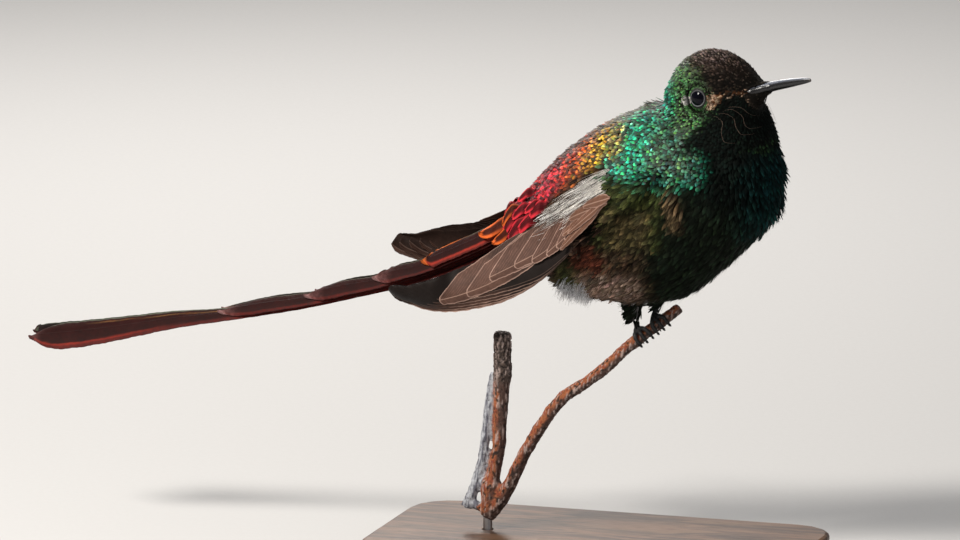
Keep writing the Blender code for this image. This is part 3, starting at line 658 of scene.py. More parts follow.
def makeSkin():
    points, normals, faces = softCopy(fleshNodes + wingArmNodes, skinSettings["voxel"],
                                      skinSettings["smoothing"], skinSettings["bridge"])
    z = points[:, 2] - perch[2]
    head, body, leg = (skinSettings[part + "Depth"] for part in ("head", "body", "leg"))
    depth = blend(leg, blend(body, head, smooth(z, 40, 47)), smooth(z, 6.0, 13.0))
    points = points - normals * (depth + skinSettings["bridge"])[:, None]
    marks = markingsAt(points)
    # the skin's colours are dimmed as painted shade, for where it shows between the feathers
    colours = {name: np.minimum(marks[name] * skinSettings["dim"], skinSettings["brightest"])
               for name in ("tint", "glow")}
    places, onHead = skinUnwrap(points)
    item = makeMesh("skin", points, faces, {"OFBake": places}, colours)
    # on the map, a face across the seam moves over to one side, and one between head and trunk is a spot
    loops = places[faces.ravel()].reshape(-1, 4, 2)
    wide = loops[:, :, 0].max(axis=1) - loops[:, :, 0].min(axis=1) > 0.5
    loops[wide, :, 0] += np.where(loops[wide, :, 0] < 0.5, mapLayout["round"], 0.0)
    split = onHead[faces].any(axis=1) != onHead[faces].all(axis=1)
    loops[split] = loops[split].mean(axis=1, keepdims=True)
    item.data.uv_layers["OFBake"].data.foreach_set("uv", loops.astype(np.float32).ravel())
    finishPiece(item, skinMaterial(), "throat_green", *fleshNodes)
    return points, faces


skinPoints, skinFaces = makeSkin()
skinTree = BVHTree.FromPolygons(skinPoints.tolist(), skinFaces.tolist())
print("skin:", len(skinFaces), "faces")


# Lie of the plumage: guides give the way the feathers point near them.
# On the head they are in the head's directions (ahead, out, up), on the trunk from the perch (x, out, z).

headGuides = (
    ((12.5, 1.4, -0.8), (-1.0, 0.30, 0.0)), ((9.5, 0.0, 4.8), (-0.70, 0.0, 0.70)),
    ((4.0, 0.0, 9.5), (-1.0, 0.0, 0.18)), ((-2.0, 0.0, 10.0), (-1.0, 0.0, -0.15)),
    ((-8.0, 0.0, 6.0), (-0.65, 0.0, -0.75)), ((6.5, 6.0, 0.5), (-1.0, 0.25, 0.0)),
    ((0.0, 8.0, 4.5), (-1.0, 0.0, 0.05)), ((1.0, 8.0, -4.5), (-0.85, 0.0, -0.50)),
    ((-5.5, 7.0, 0.0), (-0.90, 0.0, -0.40)), ((9.0, 2.0, -4.8), (-0.80, 0.10, -0.60)),
    ((6.0, 3.5, -9.0), (-0.50, 0.0, -0.85)),
)
trunkGuides = (
    ((26.0, 0.0, 45.0), (-0.10, 0.0, -1.0)), ((29.0, 4.0, 35.0), (-0.15, 0.0, -1.0)),
    ((25.0, 6.0, 23.0), (-0.50, 0.0, -0.85)), ((16.0, 14.0, 30.0), (-0.50, 0.0, -0.85)),
    ((13.0, 13.0, 39.0), (-0.62, 0.0, -0.78)), ((4.0, 13.0, 41.0), (-0.85, 0.0, -0.50)),
    ((-3.0, 12.0, 40.0), (-0.90, 0.05, -0.42)), ((2.0, 17.0, 32.0), (-0.75, 0.0, -0.65)),
    ((10.0, 15.0, 32.0), (-0.45, 0.10, -0.85)), ((10.0, 14.0, 20.0), (-0.72, 0.0, -0.68)),
    ((12.0, 5.0, 11.0), (-0.88, 0.0, -0.45)), ((0.0, 16.0, 20.0), (-0.75, 0.0, -0.65)),
    ((-5.0, 14.0, 12.0), (-0.68, 0.0, -0.72)), ((0.0, 5.0, 8.0), (-0.92, 0.0, -0.38)),
    ((-13.0, 5.0, 7.0), (-0.72, 0.0, -0.68)), ((-8.0, 6.0, 42.0), (-0.77, 0.0, -0.62)),
    ((-18.0, 5.0, 34.0), (-0.78, 0.0, -0.62)), ((-28.0, 3.0, 26.0), (-0.86, 0.0, -0.48)),
    ((-15.0, 12.0, 29.0), (-0.84, 0.05, -0.52)), ((2.0, 0.0, 47.0), (-0.85, 0.0, -0.55)),
)


def lieAt(points, normals):
    places = []
    ways = []
    for side in (1.0, -1.0):
        for place, way in headGuides:
            places.append(headMiddle + ahead * place[0] + toRight * place[1] * side + headUp * place[2])
            ways.append(ahead * way[0] + toRight * way[1] * side + headUp * way[2])
        for place, way in trunkGuides:
            places.append(perch + np.array((place[0], -place[1] * side, place[2])))
            ways.append(np.array((way[0], -way[1] * side, way[2])))
    total = np.zeros_like(points)
    for place, way in zip(places, unit(np.array(ways))):
        closeness = 1.0 / (np.sum((points - place) ** 2, axis=1) + 2.0) ** 1.6
        total += closeness[:, None] * way
    return flatten(total, normals)


# Roots: spots spread evenly over the skin, no closer than each place's own gap

def bvhOf(*names):
    corners, triangles = nodeShape(*names)
    return BVHTree.FromPolygons(corners.tolist(), triangles.tolist())


def splitQuads(faces):
    return np.concatenate((faces[:, :3], faces[:, (0, 2, 3)]))


def crowding(points):
    # how densely feathers stand
    return 1.0 / np.maximum(markingsAt(points)["gap"], 0.3) ** 2


def scatter(points, triangles, count, density=None):
    # random spots on a surface, and the way out from it at each
    a, b, c = (points[triangles[:, k]] for k in range(3))
    cross = np.cross(b - a, c - a)
    weight = np.linalg.norm(cross, axis=1)
    if density:
        weight = weight * density((a + b + c) / 3)
    pick = draw.choice(len(triangles), count, p=weight / weight.sum())
    s = draw.random((count, 1))
    t = draw.random((count, 1))
    over = s + t > 1.0
    s = np.where(over, 1.0 - s, s)
    t = np.where(over, 1.0 - t, t)
    return a[pick] * (1.0 - s - t) + b[pick] * s + c[pick] * t, unit(cross[pick])


def thinOut(points, gaps):
    # a grid of small cells holds the spots kept so far, and each new one looks round its own cell
    cell = 0.5
    reach = int(math.ceil(gaps.max() / cell))
    steps = range(-reach, reach + 1)
    around = sorted(((i, j, k) for i in steps for j in steps for k in steps),
                    key=lambda step: step[0] ** 2 + step[1] ** 2 + step[2] ** 2)
    levels = [[step for step in around if step[0] ** 2 + step[1] ** 2 + step[2] ** 2 <= (n + 1.8) ** 2]
              for n in range(reach + 1)]
    spots = np.floor(points / cell).astype(int).tolist()
    taken = {}
    kept = []
    for number, (point, gap, (i, j, k)) in enumerate(zip(points.tolist(), gaps.tolist(), spots)):
        free = True
        for di, dj, dk in levels[min(int(gap / cell), reach)]:
            other = taken.get((i + di, j + dj, k + dk))
            if other is not None:
                away = (point[0] - other[0]) ** 2 + (point[1] - other[1]) ** 2 + (point[2] - other[2]) ** 2
                if away < gap * gap:
                    free = False
                    break
        if free:
            taken[(i, j, k)] = point
            kept.append(number)
    return np.array(kept)


def evenSpots(points, triangles, gap, tries):
    roots, normals = scatter(points, triangles, tries)
    kept = thinOut(roots, np.full(tries, gap))
    return roots[kept], normals[kept]


# Feathers of the coat, built many at a time. A vane is one small arched blade with a ragged end;
# a tuft of down is a fan of separate strands.

featherSettings = {"vaneRows": (0.0, 0.4, 0.7, 0.88, 1.0), "vaneColumns": 6, "camber": 0.16,
                   "vaneSink": 0.12, "strands": 7, "strandRows": 4, "strandWidth": 0.09,
                   "strandBend": 0.06, "strandSink": 0.10, "patch": 0.003}


def spread(values):
    # one value for each feather, laid out against rows and columns
    return np.asarray(values)[:, None, None]


def laidOut(roots, normals, lies, aside, forward, up):
    # corners at so far to the side of each root, along the lie and up from the surface
    each = (slice(None),) + (None,) * (aside.ndim - 1)
    sides = np.cross(normals, lies)
    return (roots[each] + sides[each] * aside[..., None] + lies[each] * forward[..., None]
            + normals[each] * up[..., None])


def vaneGrid(roots, normals, lies, marks):
    count = len(roots)
    columns = featherSettings["vaneColumns"]
    t = np.array(featherSettings["vaneRows"])[None, :, None]
    c = np.linspace(-1.0, 1.0, columns)[None, None, :]
    length = spread(marks["length"] * draw.uniform(0.85, 1.15, count))
    width = spread(marks["width"] * draw.uniform(0.85, 1.15, count))
    lift = np.radians(spread(marks["lift"] + draw.normal(0.0, 4.0, count)))
    ragged = draw.uniform(0.0, 0.12, (count, 1, columns)) * smooth(t, 0.6, 1.0)
    ragged = ragged + 0.10 * c**2 * smooth(t, 0.5, 1.0)
    outline = np.where(t < 0.6, 0.42 + 0.58 * np.sin(np.pi / 2 * t / 0.6),
                       np.sqrt(np.clip(1.0 - ((t - 0.6) / 0.47) ** 2, 0.05, 1.0)))
    aside = c * outline * width / 2
    forward = t * (1.0 - ragged) * length
    bend = spread(draw.uniform(0.02, 0.10, count))
    twist = spread(draw.normal(0.0, 0.10, count))
    up = forward * np.sin(lift) - bend * forward**2 / 2 - featherSettings["camber"] * c**2 * width / 2
    up = up - featherSettings["vaneSink"] + twist * aside
    corners = laidOut(roots, normals, lies, aside, forward * np.cos(lift), up)
    across, along = (np.broadcast_to(value, aside.shape) for value in ((c + 1) / 2, t))
    return corners, across, along, aside, forward


def strandGrid(roots, normals, lies, marks):
    count = len(roots)
    strands = featherSettings["strands"]
    t = np.linspace(0.0, 1.0, featherSettings["strandRows"])[None, None, :, None]
    edge = np.array((-1.0, 1.0))[None, None, None, :]
    fan = np.linspace(-1.0, 1.0, strands)[None, :] + draw.uniform(-0.2, 0.2, (count, strands))
    length = marks["length"][:, None] * draw.uniform(0.75, 1.15, (count, strands))
    lift = np.radians(marks["lift"][:, None] + draw.normal(4.0, 6.0, (count, strands)))
    wave = draw.uniform(-0.22, 0.22, (count, strands))
    fan, length, lift, wave = (values[..., None, None] for values in (fan, length, lift, wave))
    width = marks["width"][:, None, None, None]
    thick = featherSettings["strandWidth"] * (1.0 - 0.75 * t) / 2
    forward = t * length
    aside = fan * width / 2 * (0.25 + 0.9 * t) + wave * np.sin(t * 4.0) + edge * thick
    up = forward * np.sin(lift) - featherSettings["strandBend"] * forward**2 / 2
    up = up - featherSettings["strandSink"]
    corners = laidOut(roots, normals, lies, aside, forward * np.cos(lift), up)
    shape = (count * strands,) + aside.shape[2:]
    values = (np.broadcast_to(value, aside.shape).reshape(shape)
              for value in ((fan + 1) / 2, t, aside, forward))
    return corners.reshape(shape + (3,)), *values


def gridFaces(count, rows, columns):
    base = np.arange(rows * columns).reshape(rows, columns)
    quads = np.stack((base[:-1, :-1], base[:-1, 1:], base[1:, 1:], base[1:, :-1]), axis=-1).reshape(-1, 4)
    return (quads[None] + (np.arange(count) * rows * columns)[:, None, None]).reshape(-1, 4)


def coatPiece(name, kind, roots, normals, lies, marks, material, slot, *nodes):
    build, each = {"vane": (vaneGrid, 1), "strand": (strandGrid, featherSettings["strands"])}[kind]
    corners, across, along, aside, forward = build(roots, normals, lies, marks)
    owners = np.repeat(np.arange(len(roots)), each)
    count, rows, columns = across.shape
    faces = gridFaces(count, rows, columns)
    tone = draw.uniform(0.5, 1.4, (len(roots), 1))
    spark = 0.12 + 1.25 * draw.random((len(roots), 1)) ** 1.6
    home, _ = skinUnwrap(roots)
    tint, glow, middle = (np.repeat(values[owners], rows * columns, axis=0)
                          for values in (marks["tint"] * tone, marks["glow"] * spark, home))
    vane = np.stack((across.ravel(), along.ravel()), axis=1)
    barb = np.stack((aside.ravel(), forward.ravel()), axis=1)
    patch = middle + (vane - 0.5) * featherSettings["patch"]
    item = makeMesh(name, corners.reshape(-1, 3), faces, {"OFBake": patch, "vane": vane, "barb": barb},
                    {"tint": tint, "glow": glow})
    finishPiece(item, material, slot, *nodes)
    print(name, len(roots), "roots", len(faces) * 2, "triangles")


# gape: where the bare corner of the mouth starts, how low it is, half its height there and how it opens
coatSettings = {"tries": 260000, "eyeGap": 1.86, "eyeReach": 4.0, "mix": 0.45, "sway": 0.14,
                "hueSpread": (0.28, 0.09, 0.28), "flashSpread": 0.36, "gape": (10.6, -1.2, 0.2, 0.4),
                "underBlade": 4.0, "armFrom": -4.0, "armReach": 2.0, "headSize": 12.5}
armMarks = {"tint": (0.018, 0.010, 0.007), "glow": (0.11, 0.062, 0.040), "length": 1.6, "width": 0.8,
            "lift": 5.0, "down": 0.0, "shine": 0.0}


def makeCoat():
    roots, normals = scatter(skinPoints, splitQuads(skinFaces), coatSettings["tries"], crowding)
    kept = thinOut(roots, markingsAt(roots)["gap"])
    roots, normals = roots[kept], normals[kept]
    # none in the gape or the eyes or under the long wing feathers; short ones where the wing's arm is
    blades = bvhOf(*(f"wing_{side}_{part}" for side in ("right", "left")
                     for part in ("secondaries", "primaries")))
    arms = bvhOf(*wingArmNodes)
    f, r, u = headPlace(roots)
    gapeAt, gapeUp, gapeHalf, opening = coatSettings["gape"]
    clear = (f <= gapeAt) | (np.abs(u - gapeUp) >= gapeHalf + opening * (f - gapeAt))
    onArm = np.zeros(len(roots), dtype=bool)
    for number, (root, normal) in enumerate(zip(roots, normals)):
        start = Vector(root) + Vector(normal) * 0.05
        if blades.ray_cast(start, Vector(normal), coatSettings["underBlade"])[0] is not None:
            clear[number] = False
            continue
        if root[0] - perch[0] < coatSettings["armFrom"]:
            onArm[number] = arms.find_nearest(start, coatSettings["armReach"])[0] is not None
        for middle in eyeMiddle.values():
            away = root - middle
            aside = np.linalg.norm(away - toRight * (away @ toRight))
            if np.linalg.norm(away) < coatSettings["eyeReach"] and aside < coatSettings["eyeGap"]:
                clear[number] = False
    roots, normals, onArm = roots[clear], normals[clear], onArm[clear]
    marks = markingsAt(roots + draw.normal(0.0, coatSettings["mix"], roots.shape))
    paint(marks, onArm.astype(float), **armMarks)
    gloss = (0.25 + 0.75 * smooth(marks["shine"], 0.3, 0.8))[:, None]
    hue = 1.0 + draw.normal(0.0, 1.0, roots.shape) * gloss * np.array(coatSettings["hueSpread"])
    flash = 0.92 + draw.normal(0.0, coatSettings["flashSpread"], (len(roots), 1)) * gloss
    marks["glow"] = marks["glow"] * np.clip(hue, 0.3, 2.0) * np.clip(flash, 0.25, 1.7)
    lies = lieAt(roots, normals)
    lies = unit(lies + np.cross(normals, lies) * draw.normal(0.0, coatSettings["sway"], (len(roots), 1)))
    x, y, z = (roots - perch).T
    f, r, u = headPlace(roots)
    onHead = np.sqrt(f * f + r * r + u * u) < coatSettings["headSize"]
    regions = {
        "head": (onHead & (u + 0.3 * f > -1.5), "crown_green"),
        "face": (onHead & (u + 0.3 * f <= -1.5), "throat_green"),
        "collar": (~onHead & (z > 34.0) & (x > -4.5), "throat_green"),
        "back": (~onHead & (x <= -4.5) & (z > 14.0), "rump_crimson"),
        "breast": (~onHead & (z <= 34.0) & (x > 8.0), "throat_green"),
    }
    regions["flanks"] = (~np.any([mask for mask, _ in regions.values()], axis=0), "belly_olive")
    glossy = marks["shine"] > 0.4

    def grow(name, kind, group, material, slot):
        if group.sum() > 3:
            picked = {key: values[group] for key, values in marks.items()}
            coatPiece(name, kind, roots[group], normals[group], lies[group], picked, material, slot)

    for name, (region, slot) in regions.items():
        for side, half in (("_right", region & (y < 0)), ("_left", region & (y >= 0))):
            grow("coat_" + name + side, "vane", half & glossy, scaleMaterial, slot)
            grow("coat_" + name + side + "_soft", "vane", half & ~glossy, downMaterial, slot)
            fluffy = half.copy()
            fluffy[half] = draw.random(half.sum()) < marks["down"][half]
            grow("down_" + name + side, "strand", fluffy, downMaterial, slot)


makeCoat()


# Long feathers: each is a closed thin blade over a grid of rows from its root to its tip

def closedBlade(corners, normals, thickness):
    # top grid and its copy below, with the faces that join them round the edge
    rows, columns = corners.shape[:2]
    below = corners - normals * thickness
    base = np.arange(rows * columns).reshape(rows, columns)
    top = np.stack((base[:-1, :-1], base[1:, :-1], base[1:, 1:], base[:-1, 1:]), axis=-1).reshape(-1, 4)
    bottom = top[:, ::-1] + rows * columns
    ring = np.concatenate((base[0, :-1], base[:-1, -1], base[-1, :0:-1], base[:0:-1, 0]))
    after = np.roll(ring, -1)
    rim = np.stack((ring, after, after + rows * columns, ring + rows * columns), axis=-1)
    return np.concatenate((corners.reshape(-1, 3), below.reshape(-1, 3))), np.concatenate((top, bottom, rim))


def gridNormals(corners):
    down = np.gradient(corners, axis=0)
    across = np.gradient(corners, axis=1)
    return unit(np.cross(down, across))


def featherGroup(name, blades, material, slot, *nodes):
    # joins blades into one piece; each blade is its corners, outward side, colours and measures
    allCorners = []
    allFaces = []
    maps = {"OFBake": [], "vane": [], "barb": []}
    colours = {"tint": [], "glow": []}
    count = 0
    perRow = math.ceil(math.sqrt(len(blades)))
    for number, blade in enumerate(blades):
        normals = gridNormals(blade["corners"])
        if np.sum(normals * blade["outward"]) < 0:
            normals = -normals
        corners, faces = closedBlade(blade["corners"], normals, blade["thickness"])
        allCorners.append(corners)
        allFaces.append(faces + count)
        count += len(corners)
        size = normals.shape[:2]
        vane, barb = (np.stack([np.broadcast_to(blade[key], size).ravel() for key in pair], axis=1)
                      for pair in (("across", "along"), ("aside", "forward")))
        # each blade has its own cell of the map, with its upper side on the left and its lower on the right
        upper = vane * 0.40 + 0.03
        cell = np.concatenate((upper, upper + np.array((0.5, 0.0)))) / perRow
        maps["OFBake"].append(cell + np.array((number % perRow, number // perRow)) / perRow)
        maps["vane"] += [vane, vane]
        maps["barb"] += [barb, barb]
        for key in ("tint", "glow"):
            values = blade[key].reshape(-1, 3)
            colours[key] += [values, values * blade["under"]]
    item = makeMesh(name, np.concatenate(allCorners), np.concatenate(allFaces),
                    {key: np.concatenate(values) for key, values in maps.items()},
                    {key: np.concatenate(values) for key, values in colours.items()})
    tidyMesh(item)
    finishPiece(item, material, slot, *nodes)
    print(name, len(blades), "feathers", sum(len(faces) for faces in allFaces) * 2, "triangles")


def flightMaterial(name, settings):
    material, tree, shader = newMaterial(name)
    stripe, outward = barbStripes(tree, settings)
    stripe = calc(tree, "POWER", stripe, 2.0)
    grain = speckle(tree, settings["grain"])
    share = calc(tree, "MULTIPLY", stripe, calc(tree, "MULTIPLY_ADD", grain, 1.6, -0.2), clamp=True)
    colour = mixColour(tree, share, stored(tree, "tint"), stored(tree, "glow"))
    shaft = softStep(tree, outward, settings["shaftWidth"] * 0.5, settings["shaftWidth"])
    shaft = calc(tree, "SUBTRACT", 1.0, shaft)
    onShaft = calc(tree, "MULTIPLY", shaft, settings["shaftShare"])
    colour = mixColour(tree, onShaft, colour, settings["shaft"])
    colour = shadeBy(tree, colour, calc(tree, "MULTIPLY_ADD", speckle(tree, settings["patchy"]), 0.9, 0.55))
    rough = calc(tree, "MULTIPLY_ADD", grain, 0.25, settings["rough"] - 0.12)
    wire(tree, shader, colour, rough, settings["shine"])
    shader.inputs["Metallic"].default_value = settings["metal"]
    addBump(tree, shader, calc(tree, "MULTIPLY_ADD", shaft, 2.0, stripe), settings["bump"])
    return material


flightLooks = {
    "wingFeathers": {"barbGap": 0.34, "barbLean": 0.55, "waver": 0.35, "grain": 0.9, "patchy": 0.35,
                     "rough": 0.55, "metal": 0.0, "bump": 0.03, "shine": 0.15, "shaftWidth": 0.13,
                     "shaftShare": 0.7, "shaft": (0.38, 0.24, 0.18, 1.0)},
    "primaryFeathers": {"barbGap": 0.34, "barbLean": 0.9, "waver": 0.3, "grain": 0.9, "patchy": 0.35,
                        "rough": 0.5, "metal": 0.0, "bump": 0.02, "shine": 0.08, "shaftWidth": 0.10,
                        "shaftShare": 0.25, "shaft": (0.30, 0.19, 0.15, 1.0)},
    "tailFeathers": {"barbGap": 0.30, "barbLean": 0.9, "waver": 0.25, "grain": 1.2, "patchy": 0.3,
                     "rough": 0.55, "metal": 0.0, "bump": 0.012, "shine": 0.07, "shaftWidth": 0.10,
                     "shaftShare": 0.5, "shaft": (0.02, 0.006, 0.005, 1.0)},
}


# Wings: the frame's own blades give the surface, and the feathers are laid over it

def sliceAt(corners, triangles, distance, way=(1.0, 0.0, 0.0)):
    # where a plane across one direction cuts a node's edges
    reach = corners @ np.asarray(way)
    found = []
    for first, second in ((0, 1), (1, 2), (2, 0)):
        a = triangles[:, first]
        b = triangles[:, second]
        crossing = (reach[a] - distance) * (reach[b] - distance) < 0
        a = a[crossing]
        b = b[crossing]
        share = (distance - reach[a]) / (reach[b] - reach[a])
        found.append(corners[a] + (corners[b] - corners[a]) * share[:, None])
    return np.concatenate(found)


# soft and leftSoft: over how many steps the edges are smoothed, leftSoft for the left wing's upper edge
wingShape = {"bulge": 1.3, "split": 0.576, "steps": 70, "inset": 0.3, "innerInset": 0.4, "band": 0.5,
             "soft": 2, "leftSoft": 8, "tipKeep": 4.0, "end": -53.9, "roof": 0.3}


def wingTable(side):
    # x against the upper and the lower edge of the folded wing
    shapes = {part: nodeShape(f"wing_{side}_{part}") for part in ("coverts", "secondaries", "primaries")}
    front = shapes["coverts"][0][:, 0].max() - wingShape["inset"]
    back = shapes["primaries"][0][:, 0].min() + wingShape["inset"]
    inner = shapes["secondaries"][0][:, 0].min() + wingShape["innerInset"]
    rows = []
    for x in np.linspace(back, front, wingShape["steps"]):
        points = np.concatenate([sliceAt(*shape, x) for shape in shapes.values()])
        if len(points) < 4:
            continue  # the gap between two of the blades
        low = points[points[:, 2] < points[:, 2].min() + wingShape["band"]].mean(axis=0)
        top = points[points[:, 2] > points[:, 2].max() - wingShape["band"]].mean(axis=0)
        if x < inner:
            top = low + (top - low) / (1.0 - wingShape["split"])
        rows.append((x, top[1], top[2], low[1], low[2]))
    table = np.array(rows)
    for column in range(1, 5):
        reach = wingShape["leftSoft"] if side == "left" and column < 3 else wingShape["soft"]
        kernel = 1.0 + reach - np.abs(np.arange(-reach, reach + 1))
        table[:, column] = softened(table[:, column], kernel / kernel.sum(), mode="edge")
    return table


def onWing(table, side, x, depth, out):
    # depth 0 is the wing's upper edge and 1 its lower
    topY, topZ, lowY, lowZ = (np.interp(x, table[:, 0], table[:, column]) for column in range(1, 5))
    inside = np.clip(depth, 0.0, 1.0)
    bulge = wingShape["bulge"] * 4 * inside * (1 - inside)
    y = topY + (lowY - topY) * depth + sideSign(side) * (bulge + out)
    z = topZ + (lowZ - topZ) * depth
    return np.stack((x, y, z), axis=-1)


def wingHeight(table, x, depth):
    top = np.interp(x, table[:, 0], table[:, 2])
    low = np.interp(x, table[:, 0], table[:, 4])
    return top + (low - top) * depth


def noiseLine(count, size, seed):
    spots = np.arange(count) * 0.37 + seed * 3.1
    return size * (np.sin(spots * 2.3) + np.sin(spots * 5.1 + 1.0) + 0.6 * np.sin(spots * 11.7))


# tips: x from the perch and depth. Length, the two webs, the end's rounding and the turned-up tip are in
# millimetres, and slant is that of the inner web's end.
wingFeathers = {
    "secondaries": {"tips": ((-13.6, 0.47), (-15.5, 0.50), (-17.9, 0.50), (-21.5, 0.47), (-25.7, 0.42),
                             (-31.5, 0.44), (-36.7, 0.59), (-42.7, 0.64)),
                    "length": 24.0, "inner": 7.0, "outer": 1.9, "slant": 0.82, "round": 0.3,
                    "rootDepth": 0.36, "rootLimit": -8.0, "tipShare": 0.66, "upturn": 0.0},
    "primaries": {"tips": ((-47.0, 0.66), (-49.0, 0.74), (-51.0, 0.82), (-53.0, 0.90), (-54.6, 0.97)),
                  "length": 42.0, "inner": 7.4, "outer": 0.85, "slant": 0.2, "round": 1.9,
                  "rootDepth": 0.84, "rootLimit": -9.0, "tipShare": 0.72, "upturn": 2.2},
    "greaterCoverts": {"tips": ((-12.8, 0.20), (-14.0, 0.40), (-14.2, 0.62)),
                       "length": 11.0, "inner": 1.5, "outer": 1.3, "slant": 0.3, "round": 0.5,
                       "rootDepth": 0.34, "rootLimit": -3.5, "tipShare": 0.62, "upturn": 0.0},
    "medianCoverts": {"tips": ((-9.6, 0.12), (-12.6, 0.44)),
                      "length": 9.5, "inner": 1.2, "outer": 1.1, "slant": 0.2, "round": 0.7,
                      "rootDepth": 0.26, "rootLimit": -3.0, "tipShare": 0.6, "upturn": 0.0},
}
wingLayers = {"primaries": -0.30, "secondaries": 0.50, "greaterCoverts": 1.05, "medianCoverts": 1.35}
wingColours = {"web": (0.070, 0.034, 0.024), "rim": (0.44, 0.28, 0.22), "barb": (0.20, 0.105, 0.078),
               "black": (0.010, 0.007, 0.006), "warm": (0.105, 0.046, 0.028),
               "warmBarb": (0.25, 0.125, 0.080)}
# stretch: how much of a blade's length runs along x; upturnReach: how far from its end a tip turns up
vaneShape = {"rows": 52, "columns": 25, "step": 0.085, "arch": 0.16, "rootSink": 0.45, "thickness": 0.10,
             "stretch": 0.90, "ragged": 0.035, "upturnReach": 2.6}
# rim: how far in from the edge it starts to fade and is gone; strap: from where to where across a primary
# its brown strip runs, and how soft it is; strapEnd and tipFrom: between which places, from the perch, the
# strip fades into painted shade towards the arm and the wing's tip darkens with the tail's painted shadow;
# left: how much of these the left wing has
wingShade = {"rim": (0.10, 0.34), "rimShare": 0.85, "covertRim": 0.6, "lowCovert": (0.78, 0.92),
             "overhang": 0.55, "overhangFrom": (9.0, 13.0), "tip": 0.8, "tipSlope": 1.31,
             "tipFrom": (-56.0, -53.6), "strap": (-0.75, -0.12, 0.12), "strapShare": 0.55,
             "strapEnd": (-34.0, -24.0), "left": {"tip": 0.25, "rim": 0.3, "dark": 0.7}}


